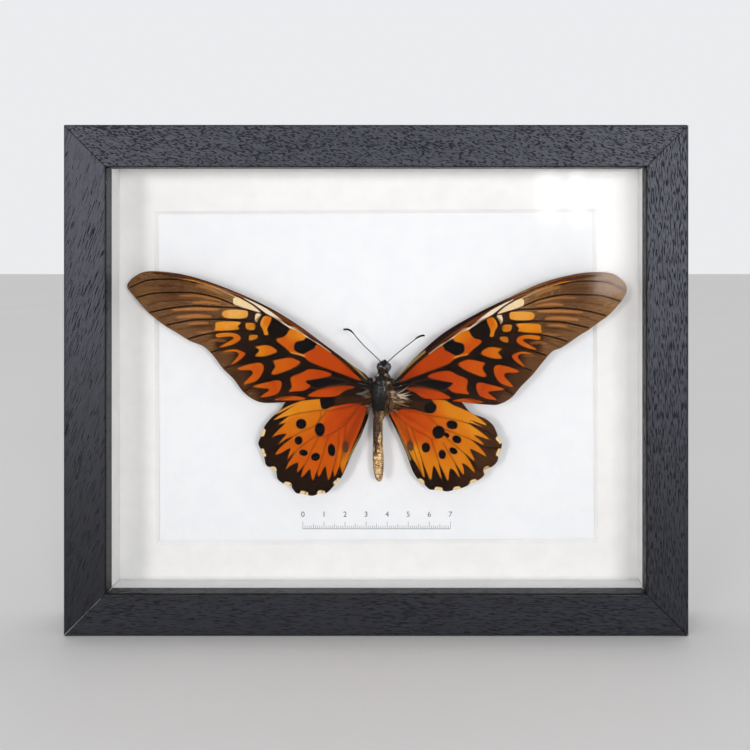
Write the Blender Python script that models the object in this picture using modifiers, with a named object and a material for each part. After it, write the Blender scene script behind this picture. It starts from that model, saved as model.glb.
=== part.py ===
"""A framed butterfly specimen: a mitred wooden box frame with glass, a window mat, and a spread
swallowtail held in front of the backing card by a short pin.

Run it with blender --background --python part.py, or from the text editor. The scene is in metres, +Z up.
The origin is the middle of the base, the front faces -Y, and +X is to the right seen from the front.
"""

import math

import bmesh
import bpy
from mathutils import Matrix, Vector

MM = 0.001

# Every size below is in millimetres. A depth is measured back from the frame's front face.

# Wooden frame, for a 10 by 8 inch sheet of glass in a 3/4 inch moulding
OUTER_WIDTH = 279.4
OUTER_HEIGHT = 228.6
FRAME_DEPTH = 35.0
FACE_WIDTH = 19.05
REBATE = 6.35
LIP_THICKNESS = 8.0
FRONT_OUTER_ROUND = 1.2
FRONT_INNER_ROUND = 0.9
BACK_ROUND = 0.6
ARC_STEPS = 4
CLEARANCE = 0.3

# The stack behind the lip, front to back
GLASS_THICKNESS = 2.0
SPACER_THICKNESS = 4.0
SPACER_DEPTH = 14.0
MAT_THICKNESS = 1.5
CARD_THICKNESS = 3.0
BOARD_THICKNESS = 3.0
GLASS_DEPTH = LIP_THICKNESS + CLEARANCE
SPACER_FRONT = GLASS_DEPTH + GLASS_THICKNESS + CLEARANCE
MAT_FRONT = SPACER_FRONT + SPACER_DEPTH + CLEARANCE
CARD_FRONT = MAT_FRONT + MAT_THICKNESS + CLEARANCE
BOARD_FRONT = CARD_FRONT + CARD_THICKNESS + CLEARANCE
BOARD_BACK = BOARD_FRONT + BOARD_THICKNESS

# The mat's bevelled window, cut a little off centre and turned
MAT_WINDOW_WIDTH = 209.4
MAT_WINDOW_HEIGHT = 158.0
MAT_WINDOW_SHIFT = (-1.4, -1.4)
MAT_WINDOW_TURN = 0.3

# Steel tabs that are driven into the rebate and hold the back board
TAB_LENGTH = 18.0
TAB_WIDTH = 6.0
TAB_THICKNESS = 0.6
TAB_BITE = 3.0
TAB_FRONT = BOARD_BACK + CLEARANCE
TAB_SPREAD = 0.27

# Sawtooth hanger and its two rivets
HANGER_LENGTH = 46.0
HANGER_HEIGHT = 8.0
HANGER_THICKNESS = 0.8
HANGER_TOP_GAP = 9.0
TOOTH_COUNT = 9
TOOTH_PITCH = 3.0
TOOTH_HEIGHT = 2.0
RIVET_SPACING = 38.0
RIVET_HEAD_RADIUS = 2.2
RIVET_HEAD_THICKNESS = 0.5
RIVET_SHANK_RADIUS = 0.9
RIVET_LENGTH = 3.0
HANGER_FRONT = BOARD_BACK + CLEARANCE

# Pin between the thorax and the card
PIN_RADIUS = 0.3
PIN_FRONT = 17.5
PIN_BACK = 29.2
PIN_X = 1.7
PIN_Z = 105.5
PIN_CLEARANCE = 0.3

# Butterfly. x is measured from the frame's middle and z from its base.
WING_THICKNESS = 0.35
WING_RINGS = (0.2, 0.45, 0.72, 1.0)
OUTLINE_STEPS = 2
FOREWING_DEPTH = 17.3
FOREWING_TIP_LIFT = 1.0
HINDWING_DEPTH = 18.5
HINDWING_TIP_LIFT = 0.5

LEFT_FOREWING = (
    (-4.5, 113.4), (-12.2, 119.5), (-23.8, 128.1), (-39.2, 139.3), (-54.5, 148.1), (-72.2, 155.8),
    (-89.4, 161.2), (-104.8, 163.0), (-111.8, 161.2), (-116.3, 156.2), (-112.4, 150.5), (-106.2, 143.5),
    (-99.2, 137.9), (-93.2, 134.2), (-87.1, 130.5), (-81.2, 128.1), (-76.9, 124.2), (-72.2, 117.9),
    (-67.1, 112.8), (-62.9, 107.2), (-58.2, 103.5), (-53.1, 101.8), (-42.9, 102.1), (-33.1, 103.0),
    (-20.6, 104.4), (-6.1, 107.2),
)
RIGHT_FOREWING = (
    (7.9, 111.6), (13.9, 119.5), (29.3, 133.4), (44.8, 142.7), (60.4, 150.5), (75.8, 157.5),
    (91.2, 161.6), (101.9, 162.6), (108.4, 161.9), (113.5, 158.6), (115.4, 154.9), (114.0, 150.7),
    (109.8, 145.4), (106.5, 142.1), (102.3, 139.1), (98.1, 136.0), (93.0, 132.8), (89.1, 130.0),
    (85.1, 127.4), (81.1, 125.8), (77.2, 121.6), (71.8, 114.9), (66.5, 109.5), (61.8, 104.1),
    (56.2, 101.1), (51.1, 100.9), (41.8, 101.8), (31.1, 103.0), (17.8, 104.1), (8.8, 106.4),
)
LEFT_HINDWING = (
    (-4.0, 102.6), (-10.0, 105.6), (-26.1, 106.6), (-35.9, 105.6), (-41.9, 103.4), (-45.7, 98.3),
    (-49.9, 94.6), (-53.1, 90.4), (-54.5, 86.5), (-55.8, 82.8), (-54.8, 80.2), (-53.1, 76.0),
    (-52.2, 72.7), (-49.9, 71.4), (-47.5, 69.5), (-46.8, 66.2), (-43.8, 63.9), (-41.0, 63.0),
    (-38.2, 59.7), (-35.2, 59.3), (-30.8, 58.3), (-27.1, 59.5), (-24.0, 59.7), (-20.6, 63.0),
    (-17.3, 66.7), (-15.0, 71.4), (-11.7, 78.8), (-8.4, 85.3), (-6.1, 90.9), (-4.4, 96.0),
)
RIGHT_HINDWING = (
    (5.8, 98.5), (8.6, 103.6), (14.5, 106.0), (25.5, 106.4), (33.0, 105.4), (38.4, 102.4),
    (43.2, 97.0), (49.3, 94.6), (53.0, 91.8), (54.8, 88.8), (56.1, 85.3), (57.6, 83.5),
    (57.2, 80.2), (56.1, 77.2), (55.3, 74.1), (52.5, 71.6), (49.7, 70.0), (49.1, 67.6),
    (46.0, 65.3), (42.5, 63.9), (41.4, 63.0), (37.9, 61.6), (35.3, 61.1), (32.0, 60.4),
    (27.9, 61.1), (24.1, 61.3), (21.3, 63.7), (18.5, 66.0), (15.8, 70.4), (13.0, 78.3),
    (9.7, 85.8), (6.6, 92.3), (4.9, 96.0),
)
# name: (outline, root that the rings close in on, depth at the root, how far the tip comes forward)
WINGS = {
    "left_forewing": (LEFT_FOREWING, (-6.6, 110.0), FOREWING_DEPTH, FOREWING_TIP_LIFT),
    "right_forewing": (RIGHT_FOREWING, (11.5, 112.0), FOREWING_DEPTH, FOREWING_TIP_LIFT),
    "left_hindwing": (LEFT_HINDWING, (-6.3, 99.6), HINDWING_DEPTH, HINDWING_TIP_LIFT),
    "right_hindwing": (RIGHT_HINDWING, (7.6, 98.6), HINDWING_DEPTH, HINDWING_TIP_LIFT),
}

# Body sections from the top of the head to the tip of the abdomen: (z, middle x, half width, middle depth,
# half depth)
BODY_SECTIONS = (
    (121.6, 2.9, 0.5, 17.8, 0.5),
    (121.0, 2.9, 1.5, 17.8, 1.4),
    (119.6, 2.8, 2.5, 17.9, 2.1),
    (118.0, 2.7, 2.9, 18.0, 2.5),
    (116.6, 2.4, 2.4, 18.1, 2.2),
    (115.6, 2.2, 2.4, 18.1, 2.2),
    (114.6, 2.0, 3.3, 18.0, 3.0),
    (112.6, 1.8, 4.6, 18.0, 4.0),
    (109.6, 1.7, 5.4, 18.0, 4.7),
    (106.0, 1.7, 5.6, 18.0, 4.8),
    (102.2, 1.6, 5.0, 18.1, 4.4),
    (98.8, 1.3, 3.8, 18.3, 3.5),
    (96.6, 0.8, 2.7, 18.5, 2.7),
    (94.0, 0.2, 2.6, 18.6, 2.6),
    (88.0, -0.1, 2.7, 18.7, 2.7),
    (82.0, -0.1, 2.6, 18.7, 2.6),
    (76.0, 0.0, 2.5, 18.7, 2.5),
    (71.0, 0.2, 2.2, 18.7, 2.2),
    (67.6, 0.3, 1.6, 18.7, 1.6),
    (65.6, 0.4, 1.0, 18.7, 1.0),
    (64.8, 0.4, 0.4, 18.7, 0.4),
)
BODY_SIDES = 24
# Round lumps of the head: (x, z, depth, radius)
EYES = ((0.9, 118.3, 17.0, 2.0), (4.7, 118.3, 17.0, 2.0))
PALPS = (3.4, 121.3, 17.2, 1.1)
LUMP_RINGS = 8

ANTENNA_RADIUS = 0.25
ANTENNA_CLUB_RADIUS = 0.45
ANTENNA_DEPTH = 16.8
LEFT_ANTENNA = ((1.8, 120.4), (-5.5, 126.8), (-9.4, 131.4), (-12.0, 134.7), (-13.9, 135.9), (-16.1, 135.9))
RIGHT_ANTENNA = ((4.0, 120.4), (9.2, 125.8), (14.3, 129.4), (18.2, 132.5), (20.2, 133.1), (21.7, 133.0))

LEG_RADIUS = 0.35
LEG_ROOTS = (111.0, 107.4, 103.8)
# One folded leg from its root, on the side that it stands out to: (outwards, up, depth)
LEG_PATH = ((1.6, 0.0, 20.6), (3.2, 0.5, 22.8), (4.6, 0.9, 23.8), (3.6, -2.4, 24.4), (2.4, -5.8, 24.8))
THIN_TUBE_RESOLUTION = 1


def at(x, z, depth):
    """The point in the scene, in metres, at x and z in the front view and at this depth."""
    return Vector((x * MM, (depth - FRAME_DEPTH / 2) * MM, z * MM))


def clear_scene():
    for old in list(bpy.context.scene.objects):
        bpy.data.objects.remove(old, do_unlink=True)


def new_collection(name):
    made = bpy.data.collections.new(name)
    bpy.context.scene.collection.children.link(made)
    return made


def material(name, colour, roughness, metallic=0.0, transmission=0.0):
    made = bpy.data.materials.get(name)
    if made:
        return made
    made = bpy.data.materials.new(name)
    made.use_nodes = True
    shader = made.node_tree.nodes["Principled BSDF"]
    shader.inputs["Base Color"].default_value = (*colour, 1.0)
    shader.inputs["Roughness"].default_value = roughness
    shader.inputs["Metallic"].default_value = metallic
    shader.inputs["Transmission Weight"].default_value = transmission
    made.diffuse_color = (*colour, 1.0)
    return made


def add_object(name, mesh, finish):
    """A visible sub-part."""
    made = bpy.data.objects.new(name, mesh)
    mesh.materials.append(finish)
    parts.objects.link(made)
    return made


def add_helper(name, mesh):
    """A shape that a Boolean cuts or joins, left out of the model itself."""
    made = bpy.data.objects.new(name, mesh)
    made.hide_render = True
    made.display_type = "WIRE"
    cutters.objects.link(made)
    return made


def apply_boolean(target, helper, operation="DIFFERENCE"):
    modifier = target.modifiers.new(helper.name, "BOOLEAN")
    modifier.operation = operation
    modifier.solver = "EXACT"
    modifier.object = helper


def mesh_from(bm, name, smooth=False):
    mesh = bpy.data.meshes.new(name)
    bmesh.ops.recalc_face_normals(bm, faces=bm.faces)
    bm.to_mesh(mesh)
    bm.free()
    if smooth:
        mesh.shade_smooth()
        mesh.set_sharp_from_angle(angle=math.radians(40))
    return mesh


def box_mesh(name, low_x, high_x, low_z, high_z, front, back):
    """A box between two x values, two z values and two depths."""
    low = at(low_x, low_z, front)
    high = at(high_x, high_z, back)
    bm = bmesh.new()
    bmesh.ops.create_cube(bm, size=1.0)
    bmesh.ops.scale(bm, vec=high - low, verts=bm.verts)
    bmesh.ops.translate(bm, vec=(low + high) / 2, verts=bm.verts)
    return mesh_from(bm, name)


def cylinder_mesh(name, x, z, front, back, radius, segments=16):
    """A round rod that runs from front to back."""
    bm = bmesh.new()
    length = (back - front) * MM
    bmesh.ops.create_cone(
        bm, cap_ends=True, segments=segments, radius1=radius * MM, radius2=radius * MM, depth=length
    )
    turn = Matrix.Rotation(math.pi / 2, 4, "X")
    bmesh.ops.transform(bm, matrix=Matrix.Translation(at(x, z, (front + back) / 2)) @ turn, verts=bm.verts)
    return mesh_from(bm, name, smooth=True)


def mesh_of_curve(curve, name, matrix=None):
    """The closed mesh of a curve, with its caps welded, and the curve removed."""
    source = bpy.data.objects.new(name + "_curve", curve)
    if matrix:
        source.matrix_world = matrix
    bpy.context.scene.collection.objects.link(source)
    bpy.context.view_layer.update()
    seen = source.evaluated_get(bpy.context.evaluated_depsgraph_get())
    mesh = bpy.data.meshes.new_from_object(seen)
    mesh.transform(source.matrix_world)
    bpy.data.objects.remove(source, do_unlink=True)
    bm = bmesh.new()
    bm.from_mesh(mesh)
    bpy.data.meshes.remove(mesh)
    bmesh.ops.remove_doubles(bm, verts=bm.verts, dist=0.000001)
    return bm


def flat_outline(points, thickness, name):
    """A closed outline in millimetres, filled and extruded by half the thickness to each side."""
    curve = bpy.data.curves.new(name, "CURVE")
    curve.dimensions = "2D"
    curve.fill_mode = "BOTH"
    curve.extrude = thickness / 2 * MM
    spline = curve.splines.new("POLY")
    spline.points.add(len(points) - 1)
    for point, (x, y) in zip(spline.points, points):
        point.co = (x * MM, y * MM, 0.0, 1.0)
    spline.use_cyclic_u = True
    return curve


def tube_mesh(name, points, radii):
    """A round tube through points given in metres, with a radius in millimetres at each."""
    curve = bpy.data.curves.new(name, "CURVE")
    curve.dimensions = "3D"
    curve.bevel_depth = MM
    curve.bevel_resolution = THIN_TUBE_RESOLUTION
    curve.use_fill_caps = True
    spline = curve.splines.new("POLY")
    spline.points.add(len(points) - 1)
    for point, place, radius in zip(spline.points, points, radii):
        point.co = (*place, 1.0)
        point.radius = radius
    return mesh_from(mesh_of_curve(curve, name), name, smooth=True)


def rounded_corner(corner, before, after, radius):
    """Points of the arc that replaces a square corner of an outline."""
    corner = Vector(corner)
    to_before = (Vector(before) - corner).normalized()
    to_after = (Vector(after) - corner).normalized()
    centre = corner + (to_before + to_after) * radius
    arc = []
    for step in range(ARC_STEPS + 1):
        angle = step / ARC_STEPS * math.pi / 2
        offset = -to_after * math.cos(angle) - to_before * math.sin(angle)
        arc.append(tuple(centre + offset * radius))
    return arc


def rail_section():
    """The moulding's L section: x inwards from the outer edge, y back from the front face."""
    wall = FACE_WIDTH - REBATE
    corners = (
        ((0.0, 0.0), FRONT_OUTER_ROUND),
        ((FACE_WIDTH, 0.0), FRONT_INNER_ROUND),
        ((FACE_WIDTH, LIP_THICKNESS), 0.0),
        ((wall, LIP_THICKNESS), 0.0),
        ((wall, FRAME_DEPTH), 0.0),
        ((0.0, FRAME_DEPTH), BACK_ROUND),
    )
    outline = []
    for index, (corner, radius) in enumerate(corners):
        before = corners[index - 1][0]
        after = corners[(index + 1) % len(corners)][0]
        outline += rounded_corner(corner, before, after, radius) if radius else [corner]
    return outline


def rail_mesh(name, length, inwards, run, start):
    """A mitred rail whose outer edge lies along run through start, with its width pointing inwards."""
    bm = mesh_of_curve(flat_outline(rail_section(), length + 2 * CLEARANCE, name), name)
    mitre = (length / 2 - CLEARANCE / math.sqrt(2)) * MM
    for side in (1, -1):
        geometry = [*bm.verts, *bm.edges, *bm.faces]
        cut = bmesh.ops.bisect_plane(
            bm, geom=geometry, plane_co=(0, 0, side * mitre), plane_no=(1, 0, side), clear_outer=True
        )
        edges = [item for item in cut["geom_cut"] if isinstance(item, bmesh.types.BMEdge)]
        bmesh.ops.edgeloop_fill(bm, edges=edges)
    back = Vector((0, 1, 0))
    place = Matrix((inwards, back, run)).transposed().to_4x4()
    place.translation = start
    bmesh.ops.transform(bm, matrix=place, verts=bm.verts)
    return mesh_from(bm, name, smooth=True)


def make_rails(finish):
    """Four rails, mitred at 45 degrees with a hairline gap."""
    middle = OUTER_HEIGHT / 2
    sides = {
        "frame_rail_top": (OUTER_WIDTH, (0, 0, -1), (1, 0, 0), at(0, OUTER_HEIGHT, 0)),
        "frame_rail_bottom": (OUTER_WIDTH, (0, 0, 1), (-1, 0, 0), at(0, 0, 0)),
        "frame_rail_left": (OUTER_HEIGHT, (1, 0, 0), (0, 0, 1), at(-OUTER_WIDTH / 2, middle, 0)),
        "frame_rail_right": (OUTER_HEIGHT, (-1, 0, 0), (0, 0, -1), at(OUTER_WIDTH / 2, middle, 0)),
    }
    rails = {}
    for name, (length, inwards, run, start) in sides.items():
        mesh = rail_mesh(name, length, Vector(inwards), Vector(run), start)
        rails[name] = add_object(name, mesh, finish)
    return rails


def rebate_box(name, front, thickness, gap=CLEARANCE):
    """A flat sheet that fills the rebate."""
    half = OUTER_WIDTH / 2 - FACE_WIDTH + REBATE - gap
    low = FACE_WIDTH - REBATE + gap
    return box_mesh(name, -half, half, low, OUTER_HEIGHT - low, front, front + thickness)


def make_spacers(finish):
    """Four strips that keep the glass clear of the specimen."""
    half = OUTER_WIDTH / 2 - FACE_WIDTH + REBATE - CLEARANCE
    low = FACE_WIDTH - REBATE + CLEARANCE
    high = OUTER_HEIGHT - low
    inner = half - SPACER_THICKNESS
    upright_low = low + SPACER_THICKNESS + CLEARANCE
    upright_high = high - SPACER_THICKNESS - CLEARANCE
    strips = {
        "spacer_top": (-half, half, high - SPACER_THICKNESS, high),
        "spacer_bottom": (-half, half, low, low + SPACER_THICKNESS),
        "spacer_left": (-half, -inner, upright_low, upright_high),
        "spacer_right": (inner, half, upright_low, upright_high),
    }
    for name, (low_x, high_x, low_z, high_z) in strips.items():
        mesh = box_mesh(name, low_x, high_x, low_z, high_z, SPACER_FRONT, SPACER_FRONT + SPACER_DEPTH)
        add_object(name, mesh, finish)


def make_window_mat(finish):
    """A mat board whose window has a 45 degree bevel, wider in front."""
    mat = add_object("window_mat", rebate_box("window_mat", MAT_FRONT, MAT_THICKNESS), finish)
    overshoot = 1.0
    bm = bmesh.new()
    bmesh.ops.create_cube(bm, size=1.0)
    reach = MAT_THICKNESS / 2 + overshoot
    for vert in bm.verts:
        in_front = vert.co.y < 0
        half_width = MAT_WINDOW_WIDTH / 2 + (overshoot if in_front else -reach - MAT_THICKNESS / 2)
        half_height = MAT_WINDOW_HEIGHT / 2 + (overshoot if in_front else -reach - MAT_THICKNESS / 2)
        vert.co.x = math.copysign(half_width * MM, vert.co.x)
        vert.co.z = math.copysign(half_height * MM, vert.co.z)
        vert.co.y = math.copysign(reach * MM, vert.co.y)
    shift_x, shift_z = MAT_WINDOW_SHIFT
    middle = at(shift_x, OUTER_HEIGHT / 2 + shift_z, MAT_FRONT + MAT_THICKNESS / 2)
    turn = Matrix.Rotation(math.radians(-MAT_WINDOW_TURN), 4, "Y")
    bmesh.ops.transform(bm, matrix=Matrix.Translation(middle) @ turn, verts=bm.verts)
    apply_boolean(mat, add_helper("window_cutter", mesh_from(bm, "window_cutter")))


def make_tabs(rails, finish):
    """Two flat tabs on each rail, with one end in a slot in the rebate wall."""
    half_width = OUTER_WIDTH / 2 - FACE_WIDTH + REBATE
    wall_low = FACE_WIDTH - REBATE
    wall_high = OUTER_HEIGHT - wall_low
    places = []
    for side in (-1, 1):
        along = side * OUTER_WIDTH * TAB_SPREAD
        places.append(("frame_rail_top", (along, wall_high), (0, 1)))
        places.append(("frame_rail_bottom", (along, wall_low), (0, -1)))
        height = OUTER_HEIGHT / 2 + side * OUTER_HEIGHT * TAB_SPREAD
        places.append(("frame_rail_left", (-half_width, height), (-1, 0)))
        places.append(("frame_rail_right", (half_width, height), (1, 0)))
    for count, (rail, wall, outwards) in enumerate(places, start=1):
        inner = [wall[axis] - outwards[axis] * (TAB_LENGTH - TAB_BITE) for axis in (0, 1)]
        outer = [wall[axis] + outwards[axis] * TAB_BITE for axis in (0, 1)]
        across = (abs(outwards[1]), abs(outwards[0]))

        def bounds(extra):
            """Low and high x, then low and high z, with extra room on every edge but the inner one."""
            found = []
            for axis in (0, 1):
                ends = (inner[axis], outer[axis] + outwards[axis] * extra)
                spread = across[axis] * (TAB_WIDTH / 2 + extra)
                found += [min(ends) - spread, max(ends) + spread]
            return found

        name = f"steel_tab_{count}"
        add_object(name, box_mesh(name, *bounds(0.0), TAB_FRONT, TAB_FRONT + TAB_THICKNESS), finish)
        slot = box_mesh(
            name + "_slot", *bounds(CLEARANCE), TAB_FRONT - CLEARANCE, TAB_FRONT + TAB_THICKNESS + CLEARANCE
        )
        apply_boolean(rails[rail], add_helper(name + "_slot", slot))


def hanger_outline():
    """The sawtooth plate seen from behind, with its middle at the origin."""
    half = HANGER_LENGTH / 2
    top = HANGER_HEIGHT / 2
    toothed = TOOTH_COUNT * TOOTH_PITCH / 2
    outline = [(half, -top), (half, top), (-half, top), (-half, -top)]
    for tooth in range(TOOTH_COUNT):
        left = -toothed + tooth * TOOTH_PITCH
        outline += [(left, -top), (left + TOOTH_PITCH / 2, -top + TOOTH_HEIGHT)]
    outline.append((toothed, -top))
    return outline


def make_hanger(board, steel):
    """A sawtooth plate on the back board, under the top rail, riveted at both ends."""
    middle_z = OUTER_HEIGHT - FACE_WIDTH + REBATE - HANGER_TOP_GAP - HANGER_HEIGHT / 2
    curve = flat_outline(hanger_outline(), HANGER_THICKNESS, "sawtooth_hanger")
    place = Matrix.Translation(at(0, middle_z, HANGER_FRONT + HANGER_THICKNESS / 2))
    place = place @ Matrix.Rotation(math.pi / 2, 4, "X")
    plate = mesh_from(mesh_of_curve(curve, "sawtooth_hanger", place), "sawtooth_hanger")
    hanger = add_object("sawtooth_hanger", plate, steel)
    head_front = HANGER_FRONT + HANGER_THICKNESS + CLEARANCE
    for side, x in (("left", -RIVET_SPACING / 2), ("right", RIVET_SPACING / 2)):
        name = f"hanger_rivet_{side}"
        head_back = head_front + RIVET_HEAD_THICKNESS
        head = cylinder_mesh(name, x, middle_z, head_front, head_back, RIVET_HEAD_RADIUS)
        rivet = add_object(name, head, steel)
        shank_front = head_front - RIVET_LENGTH
        shank_overlap = RIVET_HEAD_THICKNESS / 2
        shank = cylinder_mesh(
            name + "_shank", x, middle_z, shank_front, head_front + shank_overlap, RIVET_SHANK_RADIUS
        )
        apply_boolean(rivet, add_helper(name + "_shank", shank), "UNION")
        bore_radius = RIVET_SHANK_RADIUS + CLEARANCE
        bore = cylinder_mesh(
            name + "_bore", x, middle_z, shank_front - CLEARANCE, FRAME_DEPTH, bore_radius
        )
        bore_helper = add_helper(name + "_bore", bore)
        apply_boolean(hanger, bore_helper)
        apply_boolean(board, bore_helper)


def smooth_closed(points, steps):
    """A closed curve through the points, with steps pieces between each two."""
    count = len(points)
    found = []
    for index in range(count):
        p0, p1, p2, p3 = (Vector(points[(index + offset) % count]) for offset in (-1, 0, 1, 2))
        for step in range(steps):
            t = step / steps
            straight = 2 * p1 + (p2 - p0) * t
            bend = (2 * p0 - 5 * p1 + 4 * p2 - p3) * t**2
            turn = (3 * p1 - p0 - 3 * p2 + p3) * t**3
            found.append((straight + bend + turn) / 2)
    return found


def make_wing(name, outline, root, root_depth, tip_lift, finish):
    """A thin sheet of rings that close in on the wing's root, curving forwards to its tip."""
    rim = smooth_closed(outline, OUTLINE_STEPS)
    root = Vector(root)
    reach = max((point - root).length for point in rim)

    def on_wing(point):
        share = (point - root).length / reach
        return at(point.x, point.y, root_depth - tip_lift * share**2)

    bm = bmesh.new()
    centre = bm.verts.new(on_wing(root))
    rings = [[bm.verts.new(on_wing(root + (point - root) * share)) for point in rim] for share in WING_RINGS]
    count = len(rim)
    for index in range(count):
        following = (index + 1) % count
        bm.faces.new((centre, rings[0][index], rings[0][following]))
        for inner, outer in zip(rings, rings[1:]):
            bm.faces.new((inner[index], outer[index], outer[following], inner[following]))
    wing = add_object(name, mesh_from(bm, name, smooth=True), finish)
    shell = wing.modifiers.new("thickness", "SOLIDIFY")
    shell.thickness = WING_THICKNESS * MM
    shell.offset = 0.0


def body_mesh():
    """Head, thorax and abdomen as one loft through oval sections."""
    bm = bmesh.new()
    rings = []
    for z, middle_x, half_width, middle_depth, half_depth in BODY_SECTIONS:
        ring = []
        for side in range(BODY_SIDES):
            angle = side / BODY_SIDES * 2 * math.pi
            x = middle_x + half_width * math.cos(angle)
            depth = middle_depth + half_depth * math.sin(angle)
            ring.append(bm.verts.new(at(x, z, depth)))
        rings.append(ring)
    for upper, lower in zip(rings, rings[1:]):
        for side in range(BODY_SIDES):
            following = (side + 1) % BODY_SIDES
            bm.faces.new((upper[side], upper[following], lower[following], lower[side]))
    bm.faces.new(rings[0])
    bm.faces.new(rings[-1])
    return mesh_from(bm, "butterfly_body", smooth=True)


def lump_mesh(name, x, z, depth, radius):
    bm = bmesh.new()
    bmesh.ops.create_uvsphere(bm, u_segments=2 * LUMP_RINGS, v_segments=LUMP_RINGS, radius=radius * MM)
    bmesh.ops.translate(bm, vec=at(x, z, depth), verts=bm.verts)
    return mesh_from(bm, name, smooth=True)


def leg_mesh(name, side, root_z):
    """A folded leg under the thorax. side is -1 for left and 1 for right."""
    points = [at(PIN_X + side * outwards, root_z + up, depth) for outwards, up, depth in LEG_PATH]
    return tube_mesh(name, points, [LEG_RADIUS] * len(points))


def antenna_mesh(name, path):
    """An antenna that thickens into a bent club."""
    club_from = len(path) - 3
    radii = [ANTENNA_RADIUS if index < club_from else ANTENNA_CLUB_RADIUS for index in range(len(path))]
    radii[-1] = ANTENNA_RADIUS
    return tube_mesh(name, [at(x, z, ANTENNA_DEPTH) for x, z in path], radii)


def make_body(finish):
    """The body with its eyes, palps, legs and antennae, grown as one piece, and the pin's hole."""
    body = add_object("butterfly_body", body_mesh(), finish)
    grown = [lump_mesh(f"eye_{index}", *eye) for index, eye in enumerate(EYES, start=1)]
    grown.append(lump_mesh("palps", *PALPS))
    for side_name, side in (("left", -1), ("right", 1)):
        for pair, root_z in enumerate(LEG_ROOTS, start=1):
            grown.append(leg_mesh(f"leg_{side_name}_{pair}", side, root_z))
    grown.append(antenna_mesh("antenna_left", LEFT_ANTENNA))
    grown.append(antenna_mesh("antenna_right", RIGHT_ANTENNA))
    for mesh in grown:
        apply_boolean(body, add_helper(mesh.name, mesh), "UNION")
    return body


def make_pin(body, card, finish):
    """A short headless pin from inside the thorax into the card, clear of both by a hair."""
    rod = cylinder_mesh("specimen_pin", PIN_X, PIN_Z, PIN_FRONT, PIN_BACK, PIN_RADIUS)
    add_object("specimen_pin", rod, finish)
    bore_radius = PIN_RADIUS + PIN_CLEARANCE
    bore = cylinder_mesh(
        "pin_bore", PIN_X, PIN_Z, PIN_FRONT - PIN_CLEARANCE, PIN_BACK + PIN_CLEARANCE, bore_radius
    )
    bore_helper = add_helper("pin_bore", bore)
    apply_boolean(body, bore_helper)
    apply_boolean(card, bore_helper)


def build():
    black_wood = material("black_stained_wood", (0.045, 0.048, 0.06), 0.42)
    glass = material("clear_glass", (0.96, 0.98, 0.98), 0.02, transmission=1.0)
    white_strip = material("white_spacer_board", (0.86, 0.86, 0.85), 0.8)
    mat_board = material("white_mat_board", (0.88, 0.87, 0.86), 0.85)
    white_card = material("white_backing_card", (0.9, 0.91, 0.93), 0.8)
    fibreboard = material("brown_fibreboard", (0.36, 0.23, 0.13), 0.75)
    steel = material("zinc_plated_steel", (0.62, 0.62, 0.6), 0.35, metallic=1.0)
    pin_steel = material("pin_steel", (0.5, 0.5, 0.52), 0.3, metallic=1.0)
    chitin = material("dark_chitin", (0.05, 0.035, 0.025), 0.4)
    wing_scales = material("orange_wing_scales", (0.62, 0.22, 0.05), 0.65)

    rails = make_rails(black_wood)
    add_object("glass_pane", rebate_box("glass_pane", GLASS_DEPTH, GLASS_THICKNESS), glass)
    make_spacers(white_strip)
    make_window_mat(mat_board)
    card = add_object("backing_card", rebate_box("backing_card", CARD_FRONT, CARD_THICKNESS), white_card)
    board = add_object("back_board", rebate_box("back_board", BOARD_FRONT, BOARD_THICKNESS), fibreboard)
    make_tabs(rails, steel)
    make_hanger(board, steel)
    for name, (outline, root, root_depth, tip_lift) in WINGS.items():
        make_wing(name, outline, root, root_depth, tip_lift, wing_scales)
    body = make_body(chitin)
    make_pin(body, card, pin_steel)


clear_scene()
parts = new_collection("framed_butterfly_specimen")
cutters = new_collection("cutters")
build()
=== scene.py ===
"""The looks of the framed butterfly specimen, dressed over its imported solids: stained wood, glass, mat and
card, four scaled wings with their marks, and a body with hair. Sizes are in millimetres, except in the stage.
"""

import math
import random

import bmesh
import bpy
import numpy as np
from mathutils import Matrix, Vector, noise
from mathutils.geometry import delaunay_2d_cdt


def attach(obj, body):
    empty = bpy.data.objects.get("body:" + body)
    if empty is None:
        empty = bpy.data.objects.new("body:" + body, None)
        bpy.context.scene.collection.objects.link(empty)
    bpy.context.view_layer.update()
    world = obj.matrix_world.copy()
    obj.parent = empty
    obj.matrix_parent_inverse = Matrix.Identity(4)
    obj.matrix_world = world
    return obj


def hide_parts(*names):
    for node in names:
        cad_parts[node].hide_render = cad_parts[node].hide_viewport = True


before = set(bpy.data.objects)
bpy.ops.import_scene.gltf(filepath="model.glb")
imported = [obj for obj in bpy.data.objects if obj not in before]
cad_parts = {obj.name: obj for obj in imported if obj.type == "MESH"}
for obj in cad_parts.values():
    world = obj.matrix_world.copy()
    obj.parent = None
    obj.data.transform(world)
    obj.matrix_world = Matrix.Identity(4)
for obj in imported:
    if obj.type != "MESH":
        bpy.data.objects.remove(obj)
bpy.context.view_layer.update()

MM = 0.001
FRAME_DEPTH = 35.0
FRAME_HEIGHT = 228.6
CARD_FRONT = 26.7
# The inner edge of the rails' lip, from the frame's middle, and the lip's thickness
RAIL_LIP_X = 120.65
RAIL_LIP_Z = 95.25
RAIL_LIP_DEPTH = 8.0
# The wood of each rail: (turn of its grain, slant of its pores, pores in a metre along and across the grain,
# noise level above which the pores open, tone at the foot and at the top). The tones are painted light:
# the top rail is painted lit, the bottom rail shaded, and each side rail shaded at its foot and lit at its
# top.
RAIL_WOOD = {
    "top": (0, -14, (560, 1700), 0.56, (1.8, 1.8)),
    "bottom": (0, -2, (260, 2300), 0.60, (0.65, 0.65)),
    "left": (90, -18, (170, 2300), 0.635, (0.35, 1.65)),
    "right": (90, 2, (260, 2000), 0.57, (0.6, 1.85)),
}
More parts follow.
